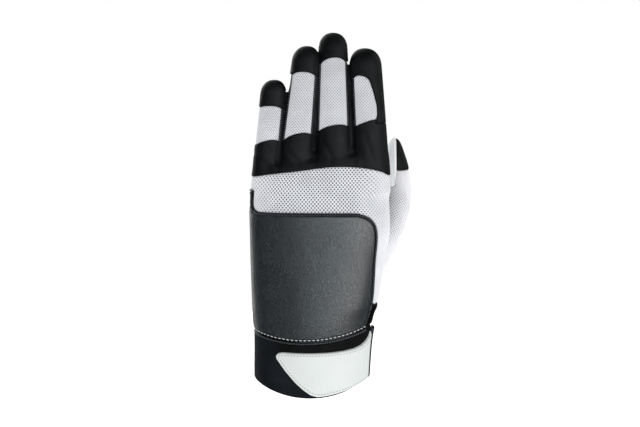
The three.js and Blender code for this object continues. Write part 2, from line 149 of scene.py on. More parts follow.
HEM_OVER = 0.3  # how far the thumb's hem runs over the edge of its strip
VENT_OUTLINE = [
    (33.4, 44.6), (34.4, 49), (35.6, 53.6), (37, 57.8), (38.6, 60.4), (40.4, 58.4), (FAR, 54.5),
    (FAR, 43.6),
]
THUMB_TURN = 42  # degrees from the hand's plane to the one that the thumb's outlines are drawn in
THUMB_OUTLINE = [
    (44.6, THUMB_CLEAR), (44.6, 112), (47, 96), (50, 84), (OUTSIDE, 84), (OUTSIDE, THUMB_CLEAR),
]
THUMB_SIDE_OUTLINE = [
    (44.6, THUMB_CLEAR), (44.6, 112), (40, 107), (32, 100), (32, THUMB_FOOT), (OUTSIDE, THUMB_FOOT),
    (OUTSIDE, THUMB_CLEAR),
]
PATCH_OUTLINE = [(55.8, 142.6), (55.8, 180), (90, 180), (90, 142.6)]
STRIP_OUTLINE = [(20, 129), (54.4, 132.5), (55.8, 142.6), (55.8, 180), (20, 180)]

# Folds in the palm: points of the line, share of the full depth, width
PALM_FOLDS = [
    ([(-37, 126), (-20, 122.5), (0, 125), (18, 131), (27, 137)], 1.0, 1.3),
    ([(45, 121), (30, 119), (12, 113), (-6, 105), (-16, 98)], 0.8, 1.3),
    ([(44, 117), (30, 111), (18, 97), (11, 80), (8, 60)], 1.0, 1.4),
    ([(-33, 47), (-10, 44.6), (14, 45.2), (32, 48)], 0.6, 1.2),
    ([(-30, 112), (-22, 92), (-20, 74)], 0.4, 1.6),
]
KNUCKLE_FOLDS = [
    [(-36, 156), (-30, 150), (-27, 146)],
    [(-16, 160), (-10, 152), (-8, 148)],
    [(6, 166), (12, 156), (12, 151)],
    [(34, 168), (37, 158), (40, 150)],
]

# The folds at a finger's joints: share of the way up it, share of the full depth
FINGER_FOLDS = [(0.34, 0.8), (0.66, 0.7)]
FINGER_FOLD_WIDTH = 1.1
# The depth and width of the waves in the knuckle band, below the webs and across it
WEB_FOLD, WEB_FOLD_WIDTH = 0.4, 1.3
BAND_FOLD, BAND_FOLD_WIDTH = 0.24, 1.5
# Beside a furrow: the swell's height, how far off it lies and its width, the last two in furrow widths
SWELL, SWELL_OFF, SWELL_WIDTH = 0.45, 2.3, 1.3
FOLD_FADE = 2  # how far from a seam the folds reach their depth

EDGE_RINGS = (0.06, 0.22, 0.5, 1.0)  # where a turned edge is cut, as shares of its roll
ROLL_HALF = 0.75  # half the width of the roll along the wrist binding
ROLL_RINGS = (0.1, 0.3, 0.75, 1.2, 1.4, 1.5)  # where that roll is cut, from its lower edge
PUFF_REACH = 14  # how far from its seam the padded panel is at its full height

# The knit's repeat across and up, and the radius or the section that it is wound round
BAND_REPEAT = (2.24, 2.64)
FINGER_REPEAT = (1.84, 1.96)
THUMB_REPEAT = (2.2, 2.0)
FINGER_RADIUS, THUMB_RADIUS = 9.5, 12.0
BAND_SQUARE, BAND_DEPTH, BAND_HALF = 2.35, 0.42, 44.0
# Where a hole starts and is full on the waves that place it, how much its rows wander, how deep it
# sinks and how far from a seam it does so
HOLE_START, HOLE_FULL = 0.12, 0.62
WOBBLE_ACROSS, WOBBLE_UP = 0.07, -0.05
PIT_DEPTH = 0.22
PIT_FADE = 1.5

# The skin's mesh: the size of its faces, the box that holds it and the step that slopes are taken over
CELL = 1.0
SKIN_LOW, SKIN_HIGH = (-46.0, -32.0, -16.0), (73.0, 51.0, 238.0)
SLOPE_STEP = 0.2
NEAR_CORNER = 0.04  # how near to a corner an edge may be cut, as a share of the edge

# Stitches: how they are dropped on the skin and how near to it they end, how finely a seam is
# followed, the bead that they are, and how far in from an edge or apart some of them are
DROP_FROM, DROP_STEPS, DROP_SHARE = 52.0, 90, 0.7
ON_SKIN = 0.1
SEAM_STEP, SEAM_AHEAD = 0.25, 0.4
BEAD_SIDES, BEAD_RINGS = 8, 6
TAB_SEAM, OVERCAST_IN = 1.7, 0.95
GUSSET_PITCH = 1.45

# The studio, in metres and degrees
FLOOR_RADIUS, FLOOR_Z = 1.4, -0.25
CAMERA_AWAY, CAMERA_RISE, CAMERA_TARGET = 0.85, 8, (0.0049, 0.0, 0.117)
LENS, SENSOR = 73.56, 36.0
ROOM_LIGHT = 0.5  # how bright the room is in what it lights
ROOM_GLOSS = 0.02  # and in what mirrors it

# The soft boxes: name, degrees round from the front, degrees up, distance, width, height, power,
# whether they light matt cloth, whether they are mirrored, and for some their colour or the only
# pieces that they light
Lamp = namedtuple(
    "Lamp", "name turn rise distance width height power matt mirrored colour only",
    defaults=((1.0, 1.0, 1.0), ()))
LAMPS = [
    Lamp("right_box", 38, 6, 0.95, 0.70, 0.9, 9.0, False, True),
    Lamp("front_box", 8, 6, 0.95, 0.36, 0.9, 2.8, False, True, colour=(0.86, 0.97, 1.0)),
    Lamp("key_fill", 36, 12, 1.0, 0.7, 0.9, 1.75, True, False),
    Lamp("left_fill", -25, 15, 1.0, 0.6, 0.8, 1.2, True, False),
    Lamp("thumb_fill", 80, 10, 1.0, 0.5, 0.8, 0.8, True, False),
    Lamp("strip_light", -40, 10, 1.0, 0.5, 0.8, 4.2, True, False,
         only=("thumb_strip_sewn", "thumb_hem_sewn")),
    Lamp("left_rim", -134, 8, 0.8, 0.36, 0.9, 2.0, False, True),
    Lamp("right_rim", 125, 25, 0.9, 0.2, 0.8, 1.0, True, True),
    Lamp("back_box", 205, 30, 1.2, 0.8, 0.8, 5.0, True, True),
]


def fade(value, reach):
    """0 below a value of 0, 1 from the reach on, and even in between."""
    return np.clip(value / reach, 0, 1)


def wrist_seam_z(x):
    """The seam along which the back of the hand meets the wrist binding, lowest near the middle."""
    return 37.8 + 0.0042 * (x + 4) ** 2 + 0.02 * x


def binding_z(x):
    """The lower edge of the wrist binding."""
    return wrist_seam_z(x) - BINDING_WIDTH


def rim_z(x):
    """The bowed rim of the cuff."""
    return 0.2 + 0.0066 * (x + 1.5) ** 2


def knuckle_low_z(x):
    """The lower edge of the knuckle band."""
    return np.interp(x, *KNUCKLE_LOW.T)


def middle_y(z):
    """The middle between back and palm, which the fingers carry towards the palm."""
    return -1 + 11 * fade(z - 150, 83) ** 2


# Smooth sections

def smooth_line(points, steps):
    """Points along a smooth line through the given ones."""
    points = np.array(points, float)
    ends = np.vstack([2 * points[0] - points[1], points, 2 * points[-1] - points[-2]])
    line = []
    for i in range(1, len(ends) - 2):
        for t in np.linspace(0, 1, steps, endpoint=False):
            before, here, there, after = ends[i - 1:i + 3]
            line.append(0.5 * (
                2 * here + (there - before) * t
                + (2 * before - 5 * here + 4 * there - after) * t ** 2
                + (3 * here - before - 3 * there + after) * t ** 3
            ))
    return np.vstack([line, points[-1]])


KNUCKLE_LOW = smooth_line(KNUCKLE_EDGE, 8)


def smooth_rows(rows):
    """The rows' columns by height, smoothed between the rows."""
    table = smooth_line(rows, 16)
    return table[:, 0], table[:, 1:]


HAND_ROWS = smooth_rows(HAND)
THUMB_ROWS = smooth_rows(THUMB)


def at_height(rows, z):
    heights, columns = rows
    return [np.interp(z, heights, column) for column in columns.T]


def join_soft(one, other, reach):
    """The nearer of two distances, filleted where both are close."""
    meet = np.maximum(reach - np.abs(one - other), 0) / reach
    return np.minimum(one, other) - meet * meet * reach / 4


def meet_soft(one, other, reach):
    return -join_soft(-one, -other, reach)


def rounded(across, deep, half, depth, square, above=0.0, dome=1.0):
    """How far a point is outside a rounded section. above runs up into a dome of the given height."""
    a = np.maximum(np.abs(across) / half, 1e-5)
    b = np.maximum(np.abs(deep) / depth, 1e-5)
    c = np.maximum(above / dome, 1e-5)
    size = (a ** square + b ** square + c ** square) ** (1 / square)
    slope = np.sqrt(
        (a ** (square - 1) / half) ** 2
        + (b ** (square - 1) / depth) ** 2
        + (c ** (square - 1) / dome) ** 2
    ) * size ** (1 - square)
    return (size - 1) / slope


def hand_distance(x, y, z):
    left, right, *_, tilt = at_height(HAND_ROWS, z)
    level = z - tilt * (x - (left + right) / 2)
    left, right, back, palm, square, _ = at_height(HAND_ROWS, level)
    depth = np.where(y < 0, back, palm)
    side = rounded(x - (left + right) / 2, y, (right - left) / 2, depth, square)
    return meet_soft(side, level - HAND_TOP, END_WEB)


def finger_distance(finger, x, y, z):
    _, root_x, tip_x, tip_z, root, tip = finger
    dome = tip * FINGER_DOME
    along = fade(z - ROOT_Z, tip_z - ROOT_Z)
    half = root + (tip - root) * along
    side = rounded(
        x - root_x - (tip_x - root_x) * along,
        y - middle_y(z),
        half,
        half * FINGER_DEPTH,
        FINGER_SQUARE,
        z - (tip_z - dome),
        dome,
    )
    return meet_soft(side, FINGER_FOOT - z, END_WEB)


def thumb_distance(x, y, z):
    centre_x, centre_y, half, depth = at_height(THUMB_ROWS, z)
    side = rounded(x - centre_x, y - centre_y, half, depth, THUMB_SQUARE)
    return meet_soft(meet_soft(side, THUMB_START - z, 6), z - THUMB_TOP, 1)


def distance(x, y, z):
    """How far a point lies outside the glove's skin, near enough to find the skin by."""
    webbed = FINGER_WEB + ROOT_WEB * fade(158 - z, 10) - TIP_WEB * fade(z - 212, 8)
    fingers = finger_distance(FINGERS[0], x, y, z)
    for finger in FINGERS[1:]:
        fingers = join_soft(fingers, finger_distance(finger, x, y, z), webbed)
    hand = join_soft(hand_distance(x, y, z), fingers, HAND_WEB)
    return join_soft(hand, thumb_distance(x, y, z), THUMB_WEB)


def growth_at(points):
    """How much the distance grows along each axis, from a step before each point to one past it."""
    moves = np.eye(3) * SLOPE_STEP
    return np.stack([distance(*(points + move).T) - distance(*(points - move).T) for move in moves], 1)


def normals_at(points):
    growth = growth_at(points)
    return growth / np.linalg.norm(growth, axis=1, keepdims=True)


def onto_skin(points):
    """Moves points along the skin's normals until they lie on it."""
    for _ in range(3):
        slopes = growth_at(points) / (2 * SLOPE_STEP)
        square = np.maximum((slopes ** 2).sum(1), 0.1)
        points = points - slopes * (distance(*points.T) / square)[:, None]
    return points


def make_skin():
    """Finds the skin in a grid of cells: one point in every cell that it crosses, and a quad across
    every edge that it cuts."""
    low = np.array(SKIN_LOW)
    counts = np.ceil((np.array(SKIN_HIGH) - low) / CELL).astype(int)
    axes = [low[i] + CELL * np.arange(counts[i]) for i in range(3)]
    x, y, z = np.meshgrid(*axes, indexing="ij")
    values = distance(x.ravel(), y.ravel(), z.ravel()).reshape(counts)
    inner = values < 0
    corners = [(i, j, k) for i in (0, 1) for j in (0, 1) for k in (0, 1)]
    size = counts - 1

    def corner(array, shift):
        return array[tuple(slice(s, s + n) for s, n in zip(shift, size))]

    filled = sum(corner(inner, shift).astype(int) for shift in corners)
    crossed = (filled > 0) & (filled < 8)
    number = -np.ones(size, int)
    number[crossed] = np.arange(crossed.sum())
    total = np.zeros((crossed.sum(), 3))
    times = np.zeros((crossed.sum(), 1))
    for one in corners:
        for axis in range(3):
            if one[axis]:
                continue
            other = list(one)
            other[axis] = 1
            first = corner(values, one)[crossed]
            second = corner(values, other)[crossed]
            cut = (first < 0) != (second < 0)
            share = np.where(cut, first / np.where(cut, first - second, 1), 0)
            place = np.tile(np.array(one, float), (len(first), 1))
            place[:, axis] = share
            total += place * cut[:, None]
            times += cut[:, None]
    cells = np.argwhere(crossed)
    points = low + CELL * (cells + total / times)

    quads = []
    for axis in range(3):
        ahead = [0, 0, 0]
        ahead[axis] = 1
        second, third = [(axis + 1) % 3, (axis + 2) % 3]
        span = tuple(slice(0, n - (1 if i == axis else 0)) for i, n in enumerate(counts))
        here = inner[span]
        there = inner[tuple(slice(a, a + here.shape[i]) for i, a in enumerate(ahead))]
        edges = np.argwhere(here != there)
        outward = here[tuple(edges.T)]
        inside = (edges[:, second] > 0) & (edges[:, third] > 0)
        inside &= (edges[:, second] < size[second]) & (edges[:, third] < size[third])
        edges, outward = edges[inside], outward[inside]
        ring = []
        for back_second, back_third in ((1, 1), (0, 1), (0, 0), (1, 0)):
            cell = edges.copy()
            cell[:, second] -= back_second
            cell[:, third] -= back_third
            ring.append(number[tuple(cell.T)])
        ring = np.stack(ring, 1)
        ring[~outward] = ring[~outward][:, ::-1]
        quads.append(ring)
    quads = np.concatenate(quads)
    points = onto_skin(points)
    triangles = np.concatenate([quads[:, [0, 1, 2]], quads[:, [0, 2, 3]]])
    return points, normals_at(points), triangles


POINTS, NORMALS, TRIANGLES = make_skin()
X, Y, Z = POINTS.T


# Outlines on the skin

def measure(outline, across, up):
    """How far inside an outline each point lies, and the way that distance grows."""
    outline = np.array(outline, float)
    best = np.full(len(across), np.inf)
    near_across = np.zeros(len(across))
    near_up = np.zeros(len(across))
    inside = np.zeros(len(across), bool)
    for (a, b), (c, d) in zip(outline, np.roll(outline, -1, axis=0)):
        run, rise = c - a, d - b
        length = run * run + rise * rise
        if length < 1e-12:
            continue
        t = np.clip(((across - a) * run + (up - b) * rise) / length, 0, 1)
        off_across, off_up = across - a - t * run, up - b - t * rise
        far = off_across ** 2 + off_up ** 2
        closer = far < best
        best = np.where(closer, far, best)
        near_across = np.where(closer, off_across, near_across)
        near_up = np.where(closer, off_up, near_up)
        if d != b:
            inside ^= ((b > up) != (d > up)) & (across < run * (up - b) / rise + a)
    best = np.sqrt(np.maximum(best, 1e-12))
    way = np.where(inside, 1.0, -1.0)
    return best * way, near_across / best * way, near_up / best * way


def region(outline, turn=0.0):
    """The distance inside an outline measured along the skin. turn is the drawing plane's angle."""
    lean = math.radians(turn)
    inside, grow_across, grow_up = measure(outline, X * math.cos(lean) + Y * math.sin(lean), Z)
    grow = np.stack([grow_across * math.cos(lean), grow_across * math.sin(lean), grow_up], 1)
    return on_skin(inside, grow)


def on_skin(inside, grow):
    """A distance of the drawing plane, stretched to what it is along the skin."""
    slope = 1 - (grow * NORMALS).sum(1) ** 2
    return np.clip(inside / np.sqrt(np.maximum(slope, 0.02)), -80, 80)


def side_field(limit):
    """How far in front of a line round the hand's side each point lies."""
    grow = np.zeros_like(POINTS)
    grow[:, 1] = -1
    return on_skin(middle_y(Z) + limit - Y, grow)


def graph(height, from_x, to_x, steps=40):
    xs = np.linspace(from_x, to_x, steps + 1)
    return list(zip(xs, height(xs)))


def moved_outline(points, distance_out):
    """An outline moved outwards by a distance, or inwards where that is negative."""
    points = np.array(points, float)
    following = np.roll(points, -1, axis=0)
    turn = np.sign((points[:, 0] * following[:, 1] - following[:, 0] * points[:, 1]).sum())
    edge = following - points
    out = np.stack([edge[:, 1], -edge[:, 0]], 1) * turn
    out /= np.linalg.norm(out, axis=1, keepdims=True)
    both = out + np.roll(out, 1, axis=0)
    both /= np.linalg.norm(both, axis=1, keepdims=True)
    miter = 1 / np.maximum(0.5, (both * out).sum(1))
    return points + both * (distance_out * miter)[:, None]


def arch(start, middle, end, steps=20):
    """A flat-topped arch between two corners, as high in between as the middle point."""
    start, middle, end = [np.array(point, float) for point in (start, middle, end)]
    rise = middle[1] - np.interp(middle[0], *zip(*sorted([tuple(start), tuple(end)])))
    points = []
    for t in np.linspace(-1, 1, steps):
        x, z = start + (end - start) * (t + 1) / 2
        points.append((x, z + rise * (1 - abs(t) ** 2.6)))
    return points


def low_edge(panel):
    return arch(*panel[:3])


def top_edge(panel):
    return arch(*panel[3:])


def gap_x(gap, z):
    return gap[0] + gap[1] * (z - ROOT_Z)


def mesh_outline(index):
    panel = FINGER_PANELS[index]
    return low_edge(panel) + (INDEX_SIDE if index == 3 else []) + top_edge(panel)


def cap_outline(index):
    panel = FINGER_PANELS[index]
    left_z, right_z = panel[5][1] - CAP_OVERLAP, panel[3][1] - CAP_OVERLAP
    outline = [(-FAR if index == 0 else gap_x(GAPS[index - 1], left_z), left_z)]
    outline += top_edge(panel)[::-1]
    if index < 3:
        outline += [(gap_x(GAPS[index], right_z), right_z), (gap_x(GAPS[index], HIGH), HIGH)]
    else:
        outline += INDEX_SIDE[::-1] + BAND_TOP + [(FAR, HIGH)]
    return outline + [(-FAR if index == 0 else gap_x(GAPS[index - 1], HIGH), HIGH)]


def knuckle_outline():
    outline = [(-FAR, 158)]
    for index, panel in enumerate(FINGER_PANELS):
        outline += low_edge(panel)
        if index < 3:
            web = GAPS[index]
            for across, up in NOTCH_POINTS:
                outline.append((gap_x(web, web[2] + up) + across * NOTCH, web[2] + up))
    return outline + BAND_TOP + graph(knuckle_low_z, FAR, -FAR)


def finger_middle(finger, z):
    _, root_x, tip_x, tip_z, *_ = finger
    return root_x + (tip_x - root_x) * fade(z - ROOT_Z, tip_z - ROOT_Z)


def gusset_name(index):
    return FINGERS[index][0] + "_" + FINGERS[index + 1][0] + "_gusset"


def gusset_outline(index):
    """From the middle of one finger to that of the next, for what the meshes and the caps leave."""
    left, right = FINGERS[index:index + 2]
    left_root, left_tip, right_root, right_tip = left[1], left[2], right[1], right[2]
    return [(left_root, ROOT_Z), (right_root, ROOT_Z), (right_tip, HIGH), (left_tip, HIGH)]


def piping_outline():
    """The outer edge of the piping, closed to the left and below."""
    return [*smooth_line(PIPING_EDGE, 6), (-FAR, 135), (-FAR, PIPING_FOOT[1]), PIPING_FOOT]


def find_panels():
    """How far inside each panel every point of the skin lies, in the order that the CAD is cut."""
    back = side_field(SIDE_SEAM)
    # The thumb's side seam lies 3 mm towards the palm from its middle at a height of 90, and runs on
    # towards the back above
    side_line = smooth_line([(row[2] + 3 - 0.05 * (row[0] - 90), row[0]) for row in THUMB[1:]], 4)
    side_foot = [(-OUTSIDE, THUMB_FOOT), (SIDE_SEAM, THUMB_FOOT), (9, 56)]
    thumb_back = region([*side_foot, *side_line, (-OUTSIDE, THUMB_CLEAR)], 90)
    thumb = region(THUMB_OUTLINE, THUMB_TURN)
    above = region(graph(wrist_seam_z, -FAR, FAR) + [(FAR, HIGH), (-FAR, HIGH)])
    panel_outline = moved_outline(piping_outline(), -PIPING_WIDTH)
    binding = graph(binding_z, -FAR, FAR) + graph(wrist_seam_z, FAR, -FAR)
    before_vent = region([(-FAR, 0), (VENT_X, 0), (VENT_X, 60), (-FAR, 60)])
    cuff_outline = graph(binding_z, -FAR, FAR) + [(FAR, -OUTSIDE), (-FAR, -OUTSIDE)]
    rim = region(graph(rim_z, -FAR, FAR) + [(FAR, -OUTSIDE), (-FAR, -OUTSIDE)])
    taken = rim.copy()
    fields = {}

    def carve(name, *parts):
        nonlocal taken
        whole = np.minimum.reduce(parts)
        fields[name] = np.minimum(whole, -taken)
        taken = np.maximum(taken, whole)

    carve("cuff", region(cuff_outline))
    carve("vent_binding", region(VENT_OUTLINE), back)
    carve("wrist_binding", region(binding), before_vent, back)
    carve("thumb_patch", thumb_back, thumb, region(PATCH_OUTLINE))
    carve("thumb_strip", thumb_back, thumb, region(STRIP_OUTLINE))
    carve("padded_panel", region(panel_outline), back, above)
    carve("panel_piping", region(piping_outline()), back, above)
    carve("knuckle_band", region(knuckle_outline()), back)
    back_mesh = graph(knuckle_low_z, -FAR, FAR) + graph(wrist_seam_z, FAR, -FAR)
    carve("back_mesh", region(back_mesh), back)
    carve("thumb_mesh", thumb_back, region(THUMB_SIDE_OUTLINE, THUMB_TURN))
    carve("thumb_palm", thumb)
    for index, finger in enumerate(FINGERS):
        carve(finger[0] + "_mesh", region(mesh_outline(index)), back)
        carve(finger[0] + "_cap", region(cap_outline(index)), back)
    for index in range(3):
        carve(gusset_name(index), region(gusset_outline(index)), back)
    fields["palm_leather"] = -taken
    fields["thumb_hem"] = np.minimum(fields["thumb_strip"] + HEM_OVER, region(HEM_OUTLINE))
    fields["closure_tab"] = np.minimum(region(TAB_OUTLINE), side_field(TAB_END))
    anchor = region(ANCHOR_OUTLINE)
    fields["tab_anchor"] = np.minimum.reduce([anchor, side_field(ANCHOR_BACK), -side_field(ANCHOR_FRONT)])
    return fields


FIELDS = find_panels()


# Cutting a panel out of the skin

def split(values, triangles, column, level):
    """Cuts the triangles along the line where a column of values passes a level."""
    off = values[:, column] - level
    high = off >= 0
    count = high[triangles].sum(1)
    cut = (count == 1) | (count == 2)
    if not cut.any():
        return values, triangles
    whole, parted = triangles[~cut], triangles[cut]
    highs = high[parted]
    lone = np.where(highs.sum(1) == 1, highs.argmax(1), (~highs).argmax(1))
    rows = np.arange(len(parted))
    a, b, c = [parted[rows, (lone + i) % 3] for i in range(3)]
    pairs = np.concatenate([np.stack([a, b], 1), np.stack([a, c], 1)])
    pairs.sort(axis=1)
    total = len(values)
    keys, place = np.unique(pairs[:, 0] * total + pairs[:, 1], return_inverse=True)
    one, other = keys // total, keys % total
    t = np.clip(off[one] / (off[one] - off[other]), NEAR_CORNER, 1 - NEAR_CORNER)[:, None]
    fresh = values[one] * (1 - t) + values[other] * t
    fresh[:, column] = level
    place = place.ravel() + total
    p, q = place[:len(parted)], place[len(parted):]
    triangles = np.concatenate([
        whole, np.stack([a, p, q], 1), np.stack([p, b, c], 1), np.stack([p, c, q], 1),
    ])
    return np.vstack([values, fresh]), triangles


def cut_out(field, levels, under, extra=(), ridge=None):
    """The part of the skin where the field is above -under, with edges along the levels. A ridge is
    one more column of values, cut along levels of its own."""
    values = np.column_stack([POINTS, NORMALS, field, *extra])
    if ridge is not None:
        values = np.column_stack([values, ridge[0]])
    triangles = TRIANGLES[(field[TRIANGLES] > -under - 0.01).any(1)]
    for level in sorted({-under, *levels}):
        values, triangles = split(values, triangles, 6, level)
    if ridge is not None:
        for level in ridge[1]:
            values, triangles = split(values, triangles, values.shape[1] - 1, level)
    triangles = triangles[values[triangles, 6].mean(1) > -under]
    used = np.unique(triangles)
    order = np.zeros(len(values), int)
    order[used] = np.arange(len(used))
    return values[used], order[triangles]


def finer(values, triangles):
    """Halves every edge, which makes four triangles of each one."""
    total, count = len(values), len(triangles)
    edges = np.concatenate([triangles[:, [0, 1]], triangles[:, [1, 2]], triangles[:, [2, 0]]])
    edges.sort(axis=1)
    keys, place = np.unique(edges[:, 0] * total + edges[:, 1], return_inverse=True)
    place = place.ravel() + total
    ab, bc, ca = place[:count], place[count:2 * count], place[2 * count:]
    a, b, c = triangles.T
    halves = (values[keys // total] + values[keys % total]) / 2
    parts = [np.stack(part, 1) for part in ((a, ab, ca), (ab, b, bc), (ca, bc, c), (ab, bc, ca))]
    return np.vstack([values, halves]), np.concatenate(parts)


def pits(cloth):
    """How deep the knit's holes sink, 0 to 1, on the coordinates that its material uses, with the
    mean of the material's wobble."""
    across, up, openness = cloth.T
    turn = 2 * math.pi
    waves = np.cos(turn * (across + WOBBLE_ACROSS / 2)) * np.cos(turn * (up + WOBBLE_UP / 2))
    t = fade(waves - HOLE_START, HOLE_FULL - HOLE_START)
    return t * t * (3 - 2 * t) * openness


def turned_edge(inside, proud, low, roll):
    """A height that rises in a quarter circle from the seam to the panel's own height."""
    t = fade(inside, roll)
    return low + (proud - low) * np.sqrt(np.maximum(1 - (1 - t) ** 2, 0))


def build(name, points, faces, material, uv=None, smooth=40):
    """An object from points in millimetres, smooth where its faces meet at less than smooth degrees.
    uv holds the cloth's two coordinates and how open its holes are."""
    mesh = bpy.data.meshes.new(name)
    mesh.from_pydata((np.asarray(points) * MM).tolist(), [], [list(map(int, f)) for f in faces])
    mesh.validate()
    piece = bpy.data.objects.new(name, mesh)
    bpy.context.scene.collection.objects.link(piece)
    if uv is not None:
        layer = mesh.uv_layers.new(name="cloth")
        loops = np.zeros(len(mesh.loops), int)
        mesh.loops.foreach_get("vertex_index", loops)
        layer.data.foreach_set("uv", np.asarray(uv)[loops, :2].astype(np.float32).ravel())
        openness = mesh.attributes.new("openness", "FLOAT", "POINT")
        openness.data.foreach_set("value", np.asarray(uv)[:, 2].astype(np.float32))
    piece.data.materials.append(material)
    bpy.ops.object.select_all(action="DESELECT")
    piece.select_set(True)
    bpy.context.view_layer.objects.active = piece
    bpy.ops.object.shade_smooth_by_angle(angle=math.radians(smooth))
    return piece


def shell(outer, inner, triangles):
    """Closes a sheet into a shell with the same sheet behind it."""
    total = len(outer)
    edges = np.concatenate([triangles[:, [0, 1]], triangles[:, [1, 2]], triangles[:, [2, 0]]])
    keys = edges[:, 0] * total + edges[:, 1]
    back = edges[:, 1] * total + edges[:, 0]
    rim = edges[~np.isin(keys, back)]
    walls = np.concatenate([
        np.stack([rim[:, 1], rim[:, 0], rim[:, 0] + total], 1),
        np.stack([rim[:, 1], rim[:, 0] + total, rim[:, 1] + total], 1),
    ])
    return np.vstack([outer, inner]), np.concatenate([triangles, triangles[:, ::-1] + total, walls])


def panel(node, material, slot, proud=0.0, low=-0.3, roll=0.9, thick=1.3, under=0.0, lift=0.0,
          height=None, uv=None, levels=None, folds=None, ridge=None, fresh=False):
    """Cuts a panel, gives it its turned edge and thickness, and lets it stand for its CAD node,
    unless it is a fresh piece that has none."""
    if levels is None:
        levels = [roll * share for share in EDGE_RINGS]
    extra = [] if uv is None else list(uv.T)
    values, triangles = cut_out(FIELDS[node], levels, under, extra, ridge)
    if uv is not None:
        values, triangles = finer(values, triangles)
    base, out, inside = values[:, :3], values[:, 3:6], values[:, 6]
    rise = height(inside, values) if height else turned_edge(inside, proud, low, roll)
    if folds:
        rise = rise + folds(base) * fade(inside, FOLD_FADE)
    if uv is not None:
        rise = rise - PIT_DEPTH * pits(values[:, 7:10]) * fade(inside, PIT_FADE)
    outer = base + out * (rise + lift)[:, None]
    inner = base + out * (lift - thick)
    cloth = None if uv is None else np.vstack([values[:, 7:10]] * 2)
    points, faces = shell(outer, inner, triangles)
    piece = build(node + "_sewn", points, faces, material, cloth)
    return finish_piece(piece, slot, *([] if fresh else [node]))


def line_distance(line, x, z):
    """How far each point lies from a line of the front view."""
    best = np.full(len(x), np.inf)
    for (a, b), (c, d) in zip(line, line[1:]):
        run, rise = c - a, d - b
        t = np.clip(((x - a) * run + (z - b) * rise) / (run * run + rise * rise), 0, 1)
        best = np.minimum(best, np.hypot(x - a - t * run, z - b - t * rise))
    return best


def fold(distance_off, width):
    """A soft furrow of depth one with a low swell on both sides."""
    furrow = np.exp(-(distance_off / width) ** 2)
    swell = np.exp(-((distance_off - SWELL_OFF * width) / (SWELL_WIDTH * width)) ** 2)
    return SWELL * swell - furrow


def palm_folds(base):
    """The lines of the palm and the folds at the joints of the fingers and the thumb."""
    x, y, z = base.T
    rise = np.zeros(len(x))
    for line, share, width in PALM_FOLDS:
        rise += share * fold(line_distance(line, x, z), width)
    for _, root_x, tip_x, tip_z, root, tip in FINGERS:
        for along, share in FINGER_FOLDS:
            middle_x = root_x + (tip_x - root_x) * along
            level = ROOT_Z + (tip_z - ROOT_Z) * along
            half = 0.9 * (root + (tip - root) * along)
            ends = level + 0.8
            line = [(middle_x - half, ends), (middle_x, level - 0.4), (middle_x + half, ends)]
            rise += share * fold(line_distance(line, x, z), FINGER_FOLD_WIDTH)
    depth = bpy.context.scene.glove_sizes.fold_depth / MM
    return depth * rise * fade(y - middle_y(z) - 2, 6)


def knuckle_folds(base):
    """Shallow waves across the knuckle band, from each web towards the hand."""
    x, _, z = base.T
    rise = np.zeros(len(x))
    for root_x, lean, web_z in GAPS:
        line = [(root_x + lean * (web_z - ROOT_Z), web_z), (root_x + 1.5, web_z - 7)]
        rise += WEB_FOLD * fold(line_distance(line, x, z), WEB_FOLD_WIDTH)
    for line in KNUCKLE_FOLDS:
        rise += BAND_FOLD * fold(line_distance(line, x, z), BAND_FOLD_WIDTH)
    return rise


def finish_piece(piece, slot, *nodes):
    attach(piece, "root")
    if nodes:
        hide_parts(*nodes)
    return piece


# Stitches and other small things along a seam

def drop_on(x, z, palm=False):
    """The point of the skin that lies under each point of the view from the front or the palm."""
    x, z = np.asarray(x, float), np.asarray(z, float)
    way = -1.0 if palm else 1.0
    y = np.full(len(x), -DROP_FROM * way)
    for _ in range(DROP_STEPS):
        y = y + way * np.maximum(DROP_SHARE * distance(x, y, z), 0)
        y = np.clip(y, 0.0, DROP_FROM) if palm else np.clip(y, -DROP_FROM, 2.0)
    return np.stack([x, y, z], 1)


def seam(points, pitch, palm=False, furthest=FAR):
    """Evenly spaced places along a line of the front view, with the way on and the way out."""
    points = np.asarray(points, float)
    step = np.hypot(*np.diff(points, axis=0).T)
    along = np.concatenate([[0], np.cumsum(step)])
    fine = np.linspace(0, along[-1], max(8, int(along[-1] / SEAM_STEP)))
    line = drop_on(np.interp(fine, along, points[:, 0]), np.interp(fine, along, points[:, 1]), palm)
    line = line[(np.abs(distance(*line.T)) < ON_SKIN) & (line[:, 1] < furthest)]
    step = np.linalg.norm(np.diff(line, axis=0), axis=1)
    along = np.concatenate([[0], np.cumsum(step)])
    count = max(1, int(along[-1] / pitch))
    at = (np.arange(count) + 0.5) * along[-1] / count
    places = np.stack([np.interp(at, along, column) for column in line.T], 1)
    ahead = np.stack([np.interp(at + SEAM_AHEAD, along, column) for column in line.T], 1)
    behind = np.stack([np.interp(at - SEAM_AHEAD, along, column) for column in line.T], 1)
    return places, ahead - behind, normals_at(places)


def bead():
    """One small round bead to copy, as points and faces, put in an order that is the same each run."""
    bpy.ops.object.select_all(action="DESELECT")
    bpy.ops.mesh.primitive_uv_sphere_add(segments=BEAD_SIDES, ring_count=BEAD_RINGS, radius=1.0)
    model = bpy.context.active_object
    points = np.array([vertex.co[:] for vertex in model.data.vertices])
    order = np.lexsort(points.round(4).T)
    number = np.argsort(order).tolist()
    faces = []
    for polygon in model.data.polygons:
        face = [number[index] for index in polygon.vertices]
        first = face.index(min(face))
        faces.append(face[first:] + face[:first])
    bpy.data.objects.remove(model, do_unlink=True)
    return points[order], sorted(faces)


